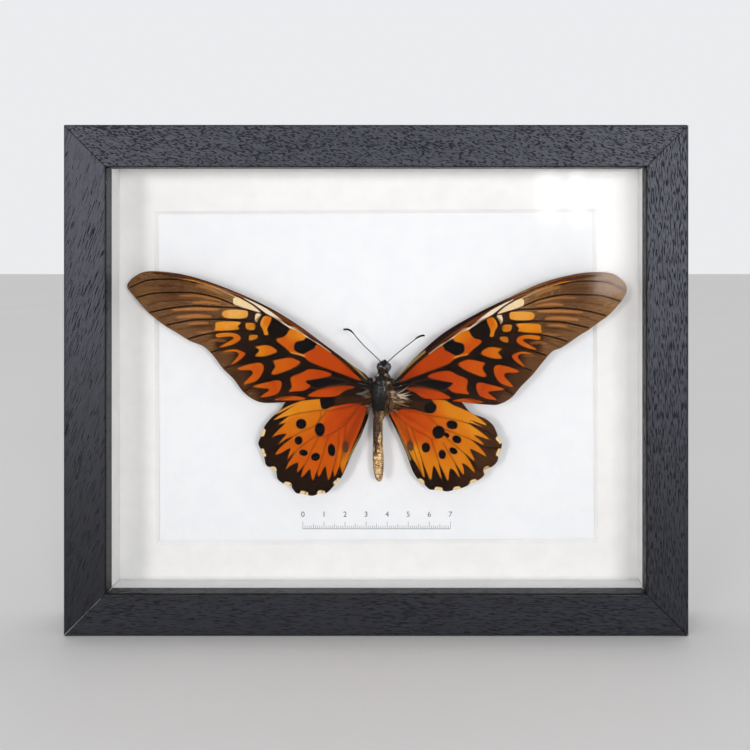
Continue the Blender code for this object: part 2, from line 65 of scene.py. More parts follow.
# The share of plain glass's reflection that this low-reflection glass keeps
GLASS_REFLECTION = 0.08

# Wings, with the outlines of the solids
SHEET_THICKNESS = 0.12
FOREWING_DEPTH = 17.3
FOREWING_TIP_LIFT = 1.0
HINDWING_DEPTH = 18.5
HINDWING_TIP_LIFT = 0.5
WING_GRID = 0.32
OUTLINE_STEPS = 8
MARK_STEPS = 5
# How far from a mark its values are still worked out
MARK_REACH = 4.0
VEIN_RIDGE = 0.10
PLEAT_DEPTH = 0.16

LEFT_FOREWING = (
    (-4.5, 113.4), (-12.2, 119.5), (-23.8, 128.1), (-39.2, 139.3), (-54.5, 148.1), (-72.2, 155.8),
    (-89.4, 161.2), (-104.8, 163.0), (-111.8, 161.2), (-116.3, 156.2), (-112.4, 150.5), (-106.2, 143.5),
    (-99.2, 137.9), (-93.2, 134.2), (-87.1, 130.5), (-81.2, 128.1), (-76.9, 124.2), (-72.2, 117.9),
    (-67.1, 112.8), (-62.9, 107.2), (-58.2, 103.5), (-53.1, 101.8), (-42.9, 102.1), (-33.1, 103.0),
    (-20.6, 104.4), (-6.1, 107.2),
)
RIGHT_FOREWING = (
    (7.9, 111.6), (13.9, 119.5), (29.3, 133.4), (44.8, 142.7), (60.4, 150.5), (75.8, 157.5),
    (91.2, 161.6), (101.9, 162.6), (108.4, 161.9), (113.5, 158.6), (115.4, 154.9), (114.0, 150.7),
    (109.8, 145.4), (106.5, 142.1), (102.3, 139.1), (98.1, 136.0), (93.0, 132.8), (89.1, 130.0),
    (85.1, 127.4), (81.1, 125.8), (77.2, 121.6), (71.8, 114.9), (66.5, 109.5), (61.8, 104.1),
    (56.2, 101.1), (51.1, 100.9), (41.8, 101.8), (31.1, 103.0), (17.8, 104.1), (8.8, 106.4),
)
LEFT_HINDWING = (
    (-4.0, 102.6), (-10.0, 105.6), (-26.1, 106.6), (-35.9, 105.6), (-41.9, 103.4), (-45.7, 98.3),
    (-49.9, 94.6), (-53.1, 90.4), (-54.5, 86.5), (-55.8, 82.8), (-54.8, 80.2), (-53.1, 76.0),
    (-52.2, 72.7), (-49.9, 71.4), (-47.5, 69.5), (-46.8, 66.2), (-43.8, 63.9), (-41.0, 63.0),
    (-38.2, 59.7), (-35.2, 59.3), (-30.8, 58.3), (-27.1, 59.5), (-24.0, 59.7), (-20.6, 63.0),
    (-17.3, 66.7), (-15.0, 71.4), (-11.7, 78.8), (-8.4, 85.3), (-6.1, 90.9), (-4.4, 96.0),
)
RIGHT_HINDWING = (
    (5.8, 98.5), (8.6, 103.6), (14.5, 106.0), (25.5, 106.4), (33.0, 105.4), (38.4, 102.4),
    (43.2, 97.0), (49.3, 94.6), (53.0, 91.8), (54.8, 88.8), (56.1, 85.3), (57.6, 83.5),
    (57.2, 80.2), (56.1, 77.2), (55.3, 74.1), (52.5, 71.6), (49.7, 70.0), (49.1, 67.6),
    (46.0, 65.3), (42.5, 63.9), (41.4, 63.0), (37.9, 61.6), (35.3, 61.1), (32.0, 60.4),
    (27.9, 61.1), (24.1, 61.3), (21.3, 63.7), (18.5, 66.0), (15.8, 70.4), (13.0, 78.3),
    (9.7, 85.8), (6.6, 92.3), (4.9, 96.0),
)

# Marks of the left forewing. The right one repeats them mirrored, a little shorter and sheared.
# Patches of warm scales: outlines that are drawn as smooth curves
FOREWING_PATCHES = {
    "outer yellow": (
        (-72.5, 143.1), (-70.3, 144.9), (-61.7, 144.8), (-60.5, 143.1), (-62, 141.2), (-70.3, 141.2),
    ),
    "middle yellow": (
        (-74.4, 139.4), (-64.2, 139.4), (-65.2, 137.4), (-65.1, 135.9), (-75.1, 135.3), (-75.5, 136.9),
    ),
    "upper tan": ((-61.3, 138.8), (-57.2, 138.5), (-57.5, 135.9), (-60.9, 136.1)),
    "lower tan": ((-59.5, 133.2), (-56.1, 133.2), (-56.4, 131.8), (-58.2, 131), (-59.9, 131)),
    "cell end": (
        (-52.9, 142), (-49.7, 141.7), (-50.2, 139), (-51.6, 136.1), (-51, 133.7), (-52.7, 133.4),
        (-53.5, 135.9), (-54.7, 138.5),
    ),
    "chevron 1": (
        (-75.1, 133.7), (-70.3, 134.4), (-65.5, 133.7), (-63.9, 131.6), (-66, 129.7), (-69.2, 128.4),
        (-73.7, 127.6), (-70.3, 129.7), (-67.1, 131.6), (-67.9, 132.6), (-70.3, 132.6), (-74.5, 132.2),
    ),
    "chevron 2": (
        (-72.2, 125.6), (-68.7, 126.5), (-65.5, 126.5), (-61.9, 124.9), (-62.8, 123), (-65.5, 120.9),
        (-68.2, 119.5), (-66, 122.2), (-64.7, 124.1), (-65.5, 125.4), (-68.2, 125.7),
    ),
    "chevron 3": (
        (-65.4, 117.6), (-62.3, 119), (-58.6, 120), (-55.2, 120.4), (-53.4, 119.3), (-53.2, 117.3),
        (-54.4, 114.5), (-56.3, 112.3), (-59.2, 111.1), (-62.5, 110.5), (-60.3, 113.1), (-58.3, 115.1),
        (-58.3, 116.2), (-59.5, 117.1), (-62.3, 116.9),
    ),
    "chevron 4": (
        (-58.3, 109.3), (-55.2, 110.5), (-51, 111.5), (-46.5, 112.3), (-44.8, 110.8), (-45.9, 107.2),
        (-48.1, 105.5), (-51.8, 104.6), (-54.7, 104.4), (-52.4, 106.3), (-50.7, 107.5), (-51, 108.3),
        (-53.8, 108.6),
    ),
    "inner 1": (
        (-57, 127.8), (-52.1, 128.6), (-48.7, 127.5), (-47, 125.8), (-48.1, 124.9), (-52.7, 123.5),
        (-56.9, 123.5), (-56.1, 124.9), (-55.1, 126.1), (-56.1, 127.2),
    ),
    "inner 2": (
        (-48.7, 121.3), (-45.4, 122.1), (-41.1, 122.7), (-38.3, 121.9), (-36.2, 120.4), (-39.7, 117.9),
        (-43.9, 116.2), (-48.1, 114.9), (-49.6, 115.6), (-48.7, 117.1), (-47.7, 118.7), (-48.4, 120.4),
    ),
    "inner 3": (
        (-35.3, 115.8), (-32.3, 117.3), (-27.3, 117.1), (-22.8, 115.8), (-21.9, 114.4), (-30.2, 112.6),
        (-33.8, 111.7), (-30.5, 110.8), (-33.8, 107.8), (-38.2, 107.2), (-41.5, 107), (-40.1, 109.2),
        (-40.7, 112.9), (-39.1, 114.4),
    ),
    "inner 4": (
        (-32, 105.7), (-25.4, 108.7), (-16.8, 109.9), (-10.9, 109), (-15.3, 107.5), (-18.3, 105.5),
        (-21.3, 104.6), (-30.8, 104.6),
    ),
    "inner 5": ((-47.9, 103.4), (-41.1, 105), (-33.8, 104), (-36.4, 103), (-45.4, 103)),
    "cell middle": (
        (-42.4, 133.7), (-40.6, 136), (-36.7, 135.2), (-33.2, 132.5), (-34.4, 131), (-38.2, 130.1),
        (-39.1, 128), (-38.5, 125.9), (-34.4, 124.2), (-40, 125.1), (-43.5, 127.7), (-47.1, 130.7),
        (-46.2, 131.9), (-44.1, 132.3),
    ),
    "cell base": (
        (-34.4, 124.4), (-31.4, 126.2), (-29.6, 126.8), (-29, 128.6), (-27.3, 128), (-21.3, 124.2),
        (-14.8, 118.8), (-8.2, 112.6), (-10, 112.6), (-18.3, 115.8), (-29, 119.7), (-33, 121.8),
    ),
}
# Pale marks: the see-through window at the costa, a small olive mark beside it, and thin rims
FOREWING_PALE_PATCHES = {
    "window": (
        (-67.2, 150.2), (-66.9, 147.6), (-64.6, 146.5), (-59.5, 145.1), (-54.6, 143.7), (-57.2, 146.5),
        (-61.9, 149.2), (-65, 150.9),
    ),
    "olive": ((-56.5, 143.3), (-54.2, 142.8), (-55.6, 140.7), (-56.5, 139.3), (-57.2, 140.9)),
}
# The rims, as (half widths along the path, tone, path)
FOREWING_PALE_LINES = (
    ((0.15, 0.5, 1.0, 0.65, 0.3), 0.99,
     ((-62.2, 150.4), (-56.8, 147.6), (-52, 144.5), (-47, 141.2), (-41.5, 137.2))),
    ((0.1, 0.3, 0.35, 0.2), 0.9,
     ((-84, 157.2), (-76, 155.2), (-70, 152.9), (-64.5, 150.4))),
    ((0.6, 0.6, 0.4, 0.3, 0.15), 0.92,
     ((-41, 137), (-38.2, 136.1), (-31.4, 131.1), (-27.3, 129), (-21.9, 125.1))),
    ((0.35, 0.4, 0.3, 0.15), 0.7,
     ((-40.6, 125.3), (-34.4, 123.6), (-29, 120.2), (-19, 116.4))),
    ((0.05, 0.22, 0.22, 0.1), 0.66,
     ((-92, 159.3), (-86, 158.6), (-80, 156.9), (-73, 154.6))),
)
FOREWING_SPOTS = {
    "spot 1": (
        (-34.4, 131), (-33.2, 132.2), (-29, 129.8), (-28.6, 128.9), (-30.2, 127.1), (-34.7, 124.6),
        (-37.9, 125.6), (-39.1, 127.4), (-38.5, 129.2), (-36.7, 130.4),
    ),
    "wedge": ((-33.8, 111.7), (-30.2, 112.6), (-22.2, 113.3), (-13.9, 111.4), (-21.3, 110.2), (-28.7, 108.7)),
}
# Veins as (path, half width)
FOREWING_VEINS = (
    (((-114.9, 155.4), (-109.8, 157.8), (-105.8, 158.9), (-99.1, 159.3), (-91.1, 158.9), (-84.4, 157.5),
      (-75.9, 155.1), (-66.2, 151.5)), 0.22),
    (((-113.3, 150.3), (-108.5, 151.7), (-103.1, 152.8), (-91.1, 153.1), (-84.4, 152.8), (-74.5, 150.5),
      (-63.1, 146), (-53.5, 143.1)), 0.24),
    (((-106.3, 143.7), (-96.5, 145.8), (-85.2, 146.9), (-77.3, 146.5), (-63.4, 145.9)), 0.26),
    (((-98, 138), (-87.1, 140.2), (-79.9, 140.6), (-69.2, 140.6), (-57.5, 139.3)), 0.26),
    (((-87.9, 131.6), (-83.1, 133), (-74.5, 134.8), (-62.5, 135.4), (-57.2, 134.8)), 0.26),
    (((-78, 125.2), (-67.9, 128), (-62.5, 128.9), (-53.6, 130.5)), 0.26),
    (((-71, 118), (-64, 120.6), (-56, 122.4), (-49.5, 123.2), (-44.5, 125.8)), 0.25),
    (((-62, 107.3), (-57, 110.3), (-50, 113.8), (-43, 115.2), (-36.5, 118.8), (-31.5, 120)), 0.25),
    (((-67.1, 151.9), (-62.5, 150), (-58.5, 147.6), (-53.5, 143.3)), 0.25),
    (((-53.5, 143.3), (-57.3, 138.8), (-55.9, 134.2)), 0.3),
    (((-55.9, 134.2), (-53.2, 131.6), (-47.8, 127.8), (-43.4, 125.2), (-36.4, 122.4), (-31.4, 119.8),
      (-23.3, 117), (-15.4, 114.2), (-6.6, 110.4)), 0.42),
    (((-53, 143.1), (-40.8, 137.8), (-22, 125.8), (-6, 112.6)), 0.35),
    (((-46, 103.4), (-30, 107.6), (-14, 109.9), (-6, 109)), 0.3),
)
# Soft darker folds and lighter streaks between the veins, as (path, half width, strength)
FOREWING_STREAKS = (
    (((-95, 145), (-86, 145.4), (-77, 145.3), (-74, 145.2)), 0.55, 1.3),
    (((-93, 141.6), (-85, 142.2), (-78, 141.9)), 0.8, 1.1),
    (((-88, 138.4), (-84, 138.9), (-79, 138.9)), 0.6, 1.0),
    (((-92, 151.6), (-84, 151.5), (-76, 150), (-73, 149.2)), 0.5, 0.8),
    (((-86, 148.3), (-80, 148.5), (-73.5, 147.7)), 0.55, 1.1),
    (((-84, 156.2), (-78, 154.7), (-72.5, 152.4)), 0.6, 0.8),
    (((-84, 134.6), (-80.5, 134.6), (-76, 135)), 0.6, 0.7),
    (((-78, 130.6), (-75, 131), (-71, 130.6)), 0.7, 0.5),
    (((-73, 124.8), (-70, 125), (-67, 124.6)), 0.6, 0.35),
)
FOREWING_SHADES = (
    (((-109, 156.2), (-99, 156.2), (-88, 155.6)), 0.5, 0.35),
    (((-108.5, 147), (-99, 149.2), (-86, 149.7)), 0.45, 0.5),
    (((-102, 141), (-93.8, 143.3), (-80, 143.9)), 0.55, 0.55),
    (((-93.5, 135.6), (-86, 137.2), (-77, 137.6)), 0.6, 0.5),
    (((-84, 129.2), (-78, 131.4), (-75, 131.6)), 0.6, 0.4),
    (((-21.5, 115), (-14, 113), (-8, 111.2)), 1.2, 0.8),
    (((-20, 108), (-12, 108.8), (-7, 109)), 1.2, 0.5),
    (((-60.5, 137.5), (-57.5, 137.3)), 1.4, 0.3),
    (((-59.6, 132.2), (-56.5, 132.1)), 1.4, 0.35),
    (((-60, 121.4), (-57, 119.4), (-56.4, 116)), 0.4, 0.4),
    (((-51.5, 112.5), (-48.5, 110.5), (-47.4, 107)), 0.4, 0.4),
)
# Middle of the dark band along the costa
FOREWING_COSTA = (
    (-5, 112.4), (-12.6, 118.3), (-24.4, 127), (-39.8, 138.2), (-55, 147), (-72.5, 154.9),
    (-89.4, 160.3), (-104, 162.2),
)
FOREWING_COSTA_WIDTHS = (0.8, 1.2, 1.45, 1.4, 0.95, 0.9, 0.7, 0.4)
FOREWING_KHAKI_LINE = ((-20, 126.1), (-14.4, 121.5), (-9.6, 117.2), (-5.4, 112.4))
# Tone of the warm scales from 0, dark red, to 1, cream, as (x, z, tone)
FOREWING_TONES = (
    (-66.5, 143, 0.8), (-70, 137.3, 0.69), (-59, 137.3, 0.64), (-56, 141.5, 0.86), (-58, 132, 0.62),
    (-51, 140, 0.5), (-52, 135, 0.62), (-70, 133.5, 0.56), (-65.5, 131, 0.44), (-71, 128.5, 0.5),
    (-69, 126, 0.5), (-64, 123.5, 0.36), (-67, 121, 0.44), (-60, 119, 0.4), (-56, 115, 0.34),
    (-60, 111.5, 0.4), (-56, 109.8, 0.42), (-49, 109.5, 0.3), (-53, 105.2, 0.33), (-54, 126, 0.56),
    (-50, 126, 0.48), (-45, 119.5, 0.42), (-39, 121, 0.36), (-40, 110, 0.36), (-35, 114, 0.28),
    (-26, 115.5, 0.2), (-30, 106, 0.27), (-17, 107.5, 0.22), (-41, 104, 0.32), (-40, 134, 0.54),
    (-44, 130.5, 0.4), (-38.6, 127, 0.36), (-29, 125, 0.22), (-21, 121, 0.22), (-12, 114, 0.14),
    (-36, 134, 0.62),
)
# Tone of the ground between the patches from 0, black, to 1, tan brown
FOREWING_GROUNDS = (
    (-10, 112, 0.2), (-30, 113, 0.05), (-45, 125, 0.05), (-50, 113, 0.06), (-58, 124, 0.1),
    (-60, 103.4, 0.5), (-66, 113, 0.44), (-73, 120.5, 0.55), (-80, 128.5, 0.64), (-72, 131, 0.35),
    (-90, 135, 0.64), (-80, 139, 0.54), (-100, 143, 0.6), (-110, 152, 0.62), (-113, 158, 0.6),
    (-95, 156, 0.53), (-85, 151, 0.58), (-76, 147, 0.58), (-62, 141, 0.3), (-58, 135, 0.22),
    (-64, 138, 0.24), (-60, 131, 0.22), (-48, 136, 0.04), (-50, 104, 0.28), (-68, 148.5, 0.78),
    (-41, 124.5, 0.3), (-52, 121, 0.14), (-58, 128, 0.24), (-71, 150, 0.7),
)

LEFT_HINDWING_GROUND = (
    (-26, 106.4), (-32.4, 106.4), (-35.2, 102.9), (-40.2, 100.9), (-45.2, 98.4), (-48.4, 95.8), (-41.6, 99.2),
    (-37.5, 101.4), (-43.8, 97.3), (-48.8, 93.7), (-45.6, 94.6), (-41.7, 95.6), (-44.9, 92.9), (-46.4, 91.5),
    (-43, 92.4), (-46.6, 88.9), (-49.5, 85.6), (-47.3, 86.6), (-42.7, 87.3), (-44.1, 85.4), (-46.5, 82.3),
    (-43.1, 84.7), (-39.4, 86), (-42.4, 83.6), (-45.6, 80.8), (-48, 77.6), (-45.2, 78.3), (-41, 80.7),
    (-41.3, 78.6), (-42.4, 75.2), (-40.6, 77.2), (-38.7, 79.3), (-41.6, 74), (-43.1, 70.4), (-41.3, 72.2),
    (-37.4, 73.9), (-37.4, 71.8), (-37.7, 69.2), (-35.9, 71.1), (-34.4, 72.9), (-35.1, 70.4), (-35.9, 66.9),
    (-34.2, 68.3), (-31.7, 70.9), (-31.3, 68.3), (-30.4, 65.4), (-29.4, 67.9), (-27.8, 71.1), (-28.1, 69.4),
    (-27.9, 67.3), (-26.7, 68.6), (-24.8, 72.3), (-24, 69.4), (-23.3, 65.7), (-22.1, 67.6), (-21, 71),
    (-20.5, 67.2), (-19.2, 69.4), (-17.7, 72.5), (-16.8, 68.7), (-15.6, 71.1), (-13.1, 78.3), (-8.8, 88.6),
    (-5.6, 98.2), (-5.3, 101.8), (-8.5, 102.2), (-21.3, 99.8), (-26.3, 99),
)
RIGHT_HINDWING_GROUND = (
    (27.9, 104.6), (34.8, 100.6), (41.8, 97.7), (47.2, 94.3), (50.8, 91.1), (47.2, 92.2), (42.3, 93.9),
    (45.2, 92.2), (48.9, 90.2), (46, 91.3), (41.6, 92.6), (46.4, 89.1), (52, 84.5), (48.3, 85.7),
    (44.3, 86.7), (47.2, 84.5), (49.3, 81.9), (46.4, 83.3), (43.1, 84.6), (47.2, 81), (50.5, 76.6),
    (47.2, 78.3), (42.7, 80.4), (43.7, 77.6), (44.9, 74.6), (42.5, 76.4), (39.6, 78.9), (42.9, 74.1),
    (45.1, 69), (41.8, 72.2), (38.9, 73.6), (39.8, 71), (39.7, 67.9), (37.9, 70.6), (35.4, 73.9),
    (37.1, 69.8), (38, 66.6), (36, 69.4), (33.6, 71.3), (32.9, 68.3), (32.5, 65.2), (31, 68.3),
    (28.2, 73.5), (29, 69.4), (29.5, 66), (27.9, 69.1), (25.8, 72.5), (25.2, 69.1), (24.4, 65.6),
    (22.5, 69.8), (20.2, 74.7), (21.3, 69.8), (21.5, 66.6), (19.8, 69.4), (17.9, 72.9), (16.3, 75.2),
    (12.2, 83), (8.4, 91.1), (5.3, 97.2), (7, 99.2), (17.1, 98.4), (22.5, 96.7), (25.6, 97.4),
    (27.1, 99.9), (24.8, 103.4),
)
HINDWING_TONES = {
    "left": (
        (-33, 101, 0.62), (-28, 102.5, 0.62), (-43, 97, 0.66), (-40, 91, 0.5), (-46, 85, 0.46),
        (-41, 80, 0.42), (-33, 73, 0.38), (-26, 72, 0.36), (-20, 75, 0.36), (-22, 92, 0.26),
        (-15, 96.5, 0.18), (-29, 95, 0.5), (-8, 100, 0.14), (-14, 87, 0.24), (-16.5, 75, 0.55),
        (-10.5, 90, 0.22), (-19, 86, 0.3), (-30, 80, 0.4),
    ),
    "right": (
        (35, 98, 0.6), (45, 91, 0.64), (40, 86, 0.56), (45, 79, 0.54), (38, 76, 0.57), (28, 72, 0.57),
        (22, 74, 0.57), (30, 91, 0.46), (22, 92, 0.3), (14, 96, 0.2), (8, 98.5, 0.14), (19, 88, 0.3),
        (13.5, 88, 0.36), (17, 78, 0.64), (24, 84, 0.4), (30, 82, 0.5), (10, 92, 0.36),
    ),
}
# Spots as (x, z, half width, half height, turn in degrees)
HINDWING_SPOTS = {
    "left": (
        (-35.9, 91.8, 2.5, 2.4, 0), (-27.2, 89.2, 2.4, 3.2, 0), (-37.1, 84.1, 1.9, 2.05, 0),
        (-34.8, 78.4, 2.1, 1.5, -10), (-29.2, 76.5, 2.15, 1.9, 20), (-21.7, 79.6, 1.8, 3.0, 8),
    ),
    "right": (
        (34.4, 91.4, 2.7, 2.1, -15), (28.1, 88, 2.95, 3.1, -20), (31.9, 86.6, 1.4, 1.1, -40),
        (36.6, 84.6, 2.3, 1.8, -25), (35, 79.3, 2.1, 1.5, -30), (29.8, 77.6, 1.75, 2.2, 10),
        (22.2, 80.8, 2.0, 2.35, 0),
    ),
}
HINDWING_GREY_SPOTS = {"left": (-15.2, 81.1, 1.6, 2.8, 0), "right": (14.9, 81.6, 1.7, 2.6, 8)}
HINDWING_COSTAL_PATCHES = {
    "left": (
        (-26.7, 105.6), (-26.9, 100.7), (-26, 98.8), (-24.2, 98.6), (-22.4, 99.5), (-20.6, 100.7),
        (-20, 105.6),
    ),
    "right": (
        (21, 99.6), (22.5, 101.6), (25.2, 102), (27, 100.6), (27.1, 98.8), (25.9, 97), (24, 96.6), (22, 97.6),
    ),
}
HINDWING_COSTAL_BANDS = {
    "left": ((-21.5, 102.8), (-15, 102.9), (-7.5, 102.9)),
    "right": ((22.6, 99.4), (17, 100.9), (12.4, 100.8), (7.6, 99.2)),
}
HINDWING_CRESCENTS = {
    "left": (
        (-54.2, 88), (-53.6, 78.4), (-49.2, 70.1), (-42.2, 63.2), (-34.6, 59.1), (-26.5, 59.2), (-18.9, 64.7),
    ),
    "right": (
        (56.6, 84.6), (56.5, 78.5), (50.9, 70.2), (44.6, 64.2), (36.8, 60.9), (28.1, 60.9), (19.6, 64.4),
    ),
}
CRESCENT_RADIUS = 2.0
CRESCENT_WIDTH = 1.35
HINDWING_VEINS = {
    "left": (
        ((-8.5, 101.4), (-21.7, 98.2), (-26.7, 98.2), (-37.4, 96.6), (-45.6, 93.9), (-51.3, 90.4)),
        ((-23.8, 97.7), (-29.5, 91.1), (-35.2, 88.6), (-43.1, 84), (-53, 78.3)),
        ((-8.5, 101.1), (-14.9, 92.2), (-23.1, 86.6), (-29.5, 85.9)),
        ((-29.5, 85.9), (-37.4, 80), (-41.3, 74.7), (-47.7, 69.4)),
        ((-27.8, 85.4), (-30.2, 81.1), (-34.5, 72.2), (-41.3, 62.9)),
        ((-23.1, 86.6), (-26.3, 75.8), (-30.2, 64.4), (-34.2, 59.4)),
        ((-18.1, 88.6), (-19.2, 78.3), (-23.1, 64.4), (-26.3, 60.1)),
        ((-14.9, 92.2), (-16.7, 78.3), (-19.6, 65.4)),
        ((-26.7, 98.2), (-27, 94.6), (-29.5, 91.1)),
    ),
    "right": (
        ((6.6, 99.6), (16.3, 97.8), (22.5, 96.1), (34, 94.1), (39.5, 92.8), (47.2, 89.9), (54.9, 85.7)),
        ((22.9, 95.7), (27.5, 91.4), (31.7, 89.1), (43.3, 84.5), (49.5, 81), (56.8, 80.6)),
        ((5.1, 98.4), (15.5, 90.3), (22.5, 86.4), (24.8, 84.9), (27.1, 84.9)),
        ((31.7, 85.3), (39.5, 78.7), (42.9, 74.9), (46.8, 70.6), (52.6, 72.2)),
        ((30.2, 83), (36, 73.3), (39.1, 68.7), (42.9, 66)),
        ((24.8, 84.5), (28.6, 72.9), (30.6, 67.5), (32.9, 61.3)),
        ((15.5, 90.3), (20.2, 76), (22.1, 69.8), (24, 62.1)),
        ((12.4, 92.6), (17.1, 78.3), (21.7, 64.4)),
        ((27.5, 91.4), (28.6, 89.1), (27.1, 84.9)),
    ),
}
HINDWING_VEIN_WIDTH = 0.17
# Pale rim along the inner edge, and dusky streaks beside it, as (path, half width, strength)
HINDWING_INNER_RIMS = {
    "left": ((-6.7, 90.2), (-8.9, 85.6), (-11.4, 80.6), (-14.2, 74.6)),
    "right": ((8.1, 90.6), (10.2, 86.2), (12.7, 80.8), (15, 75.2)),
}
HINDWING_SHADES = {
    "left": (
        (((-7, 98.6), (-10.5, 91.5), (-14, 84), (-16.4, 76)), 1.5, 0.5),
        (((-7, 101), (-12, 96), (-19, 90.5)), 0.9, 0.35),
        (((-6.5, 101.5), (-11, 100.2), (-17, 98.6)), 0.8, 0.35),
        (((-5, 97), (-6.6, 92.5), (-8.8, 87.8), (-14.6, 75)), 0.45, 0.75),
        (((-13, 93), (-17, 90), (-21, 88)), 0.5, 0.25),
    ),
    "right": (
        (((7, 98), (9.4, 93.5), (12.8, 87.5), (15, 83)), 1.3, 0.45),
        (((7, 99), (13, 95.5), (20, 91.4), (25, 88.2)), 0.7, 0.3),
        (((7.5, 99.4), (12, 98.6), (18, 97.4)), 0.6, 0.35),
        (((5, 96.5), (8, 90.2), (11, 83.4), (14.8, 74.6)), 0.35, 0.7),
        (((13.6, 84), (15.4, 78.5), (17.4, 74)), 0.5, 0.3),
    ),
}

# How the right forewing's marks follow from the left one's: x and z as sums of x, z and a shift
RIGHT_FOREWING_X = (-0.970, 0.009, 1.13)
RIGHT_FOREWING_Z = (0.011, 1.015, -2.25)

WING_ROOTS = {
    "left_forewing": (-6.6, 110.0),
    "right_forewing": (11.5, 112.0),
    "left_hindwing": (-6.3, 99.6),
    "right_hindwing": (7.6, 98.6),
}

# Body sections of the solid, top to bottom: (z, middle x, half width, middle depth, half depth)
BODY_SECTIONS = (
    (121.6, 2.9, 0.5, 17.8, 0.5),
    (121.0, 2.9, 1.5, 17.8, 1.4),
    (119.6, 2.8, 2.5, 17.9, 2.1),
    (118.0, 2.7, 2.9, 18.0, 2.5),
    (116.6, 2.4, 2.4, 18.1, 2.2),
    (115.6, 2.2, 2.4, 18.1, 2.2),
    (114.6, 2.0, 3.3, 18.0, 3.0),
    (112.6, 1.8, 4.6, 18.0, 4.0),
    (109.6, 1.7, 5.4, 18.0, 4.7),
    (106.0, 1.7, 5.6, 18.0, 4.8),
    (102.2, 1.6, 5.0, 18.1, 4.4),
    (98.8, 1.3, 3.8, 18.3, 3.5),
    (96.6, 0.8, 2.7, 18.5, 2.7),
    (94.0, -0.2, 2.15, 18.6, 2.5),
    (88.0, -0.3, 2.15, 18.7, 2.6),
    (82.0, -0.15, 2.25, 18.7, 2.6),
    (76.0, 0.0, 2.5, 18.7, 2.5),
    (71.0, 0.15, 2.35, 18.7, 2.3),
    (67.6, 0.35, 1.75, 18.7, 1.7),
    (65.6, 0.4, 1.0, 18.7, 1.0),
    (64.8, 0.4, 0.4, 18.7, 0.4),
)
EYES = ((0.95, 118.7, 17.0, 1.65), (4.5, 118.6, 17.0, 1.65))
EYE_HEIGHT = 1.25
PALPS = ((2.2, 120.7, 17.0, 0.7), (3.1, 121.1, 17.0, 0.85))
# Small lumps where the wings join the thorax, as (x, z, depth, radius, height)
TEGULAE = ((-3.7, 112.0, 16.7, 1.25, 1.3), (7.1, 111.4, 16.7, 1.2, 1.3))
# Stout bases of the wing veins, as paths of (x, z, depth)
WING_BASES = (
    ((-1.8, 111.9, 16.6), (-5.2, 112.0, 16.5), (-8.8, 113.4, 16.9)),
    ((-1.8, 110.6, 16.4), (-5.4, 110.2, 16.4), (-9.6, 111.2, 16.9)),
    ((-1.8, 108.8, 16.4), (-5.2, 108.6, 16.5), (-9.0, 109.4, 16.9)),
    ((-1.8, 101.8, 17.0), (-4.6, 101.6, 17.4), (-8.0, 100.6, 18.1)),
    ((4.8, 111.6, 16.6), (8.0, 111.2, 16.5), (11.6, 113.4, 16.9)),
    ((4.8, 110.0, 16.4), (8.6, 109.4, 16.4), (13.0, 110.6, 16.9)),
    ((4.8, 108.0, 16.4), (8.6, 107.6, 16.5), (12.4, 108.4, 16.9)),
    ((4.0, 100.4, 17.0), (6.6, 99.6, 17.6), (9.4, 98.4, 18.1)),
)
WING_BASE_RADII = (0.75, 0.6, 0.25)
ANTENNA_DEPTH = 16.8
ANTENNA_RADIUS = 0.22
ANTENNA_CLUB_RADIUS = 0.46
LEFT_ANTENNA = (
    (1.8, 120.4), (-2.6, 124.7), (-6.4, 128.3), (-9.4, 131.6), (-11.9, 134.6), (-13.6, 135.8), (-14.9, 136.0),
    (-16.1, 135.9),
)
RIGHT_ANTENNA = (
    (4.0, 120.4), (8.2, 124.2), (12.4, 127.6), (15.6, 130.0), (18.2, 132.1), (19.6, 132.8), (20.8, 133.1),
    (21.7, 133.0),
)
BODY_X = 1.7
LEG_ROOTS = (111.0, 107.4, 103.8)
# A leg's joints, as (out from the body's middle, up from its root, depth)
LEG_PATH = ((1.6, 0.0, 20.6), (3.2, 0.5, 22.8), (4.6, 0.9, 23.8), (3.6, -2.4, 24.4), (2.4, -5.8, 24.8))
ABDOMEN_TOP = 98.2
ABDOMEN_TIP = 64.8
SEGMENT = 3.3
# Heights at which the body's skins have a ring of points
HEAD_HEIGHTS = np.linspace(121.6, 115.2, 36)
THORAX_HEIGHTS = np.linspace(115.8, 96.2, 72)
ABDOMEN_HEIGHTS = np.r_[np.linspace(ABDOMEN_TOP, 66.5, 150), np.linspace(66.3, ABDOMEN_TIP, 14)]
# Pale scale spots of the collar, as (x, z, depth, hairs, tints)
COLLAR_TUFTS = (
    (0.0, 115.1, 15.9, 70, (0.9, 0.97, 1.0)),
    (3.6, 115.2, 15.8, 70, (0.86, 0.95, 1.0)),
    (4.9, 111.8, 14.3, 50, (0.88, 0.97)),
    (-1.6, 113.2, 14.9, 24, (0.9, 0.97)),
    (4.6, 114.4, 15.6, 90, (0.3, 0.45, 0.62, 0.74)),
    (3.0, 118.4, 15.6, 40, (0.5, 0.7, 0.88)),
)
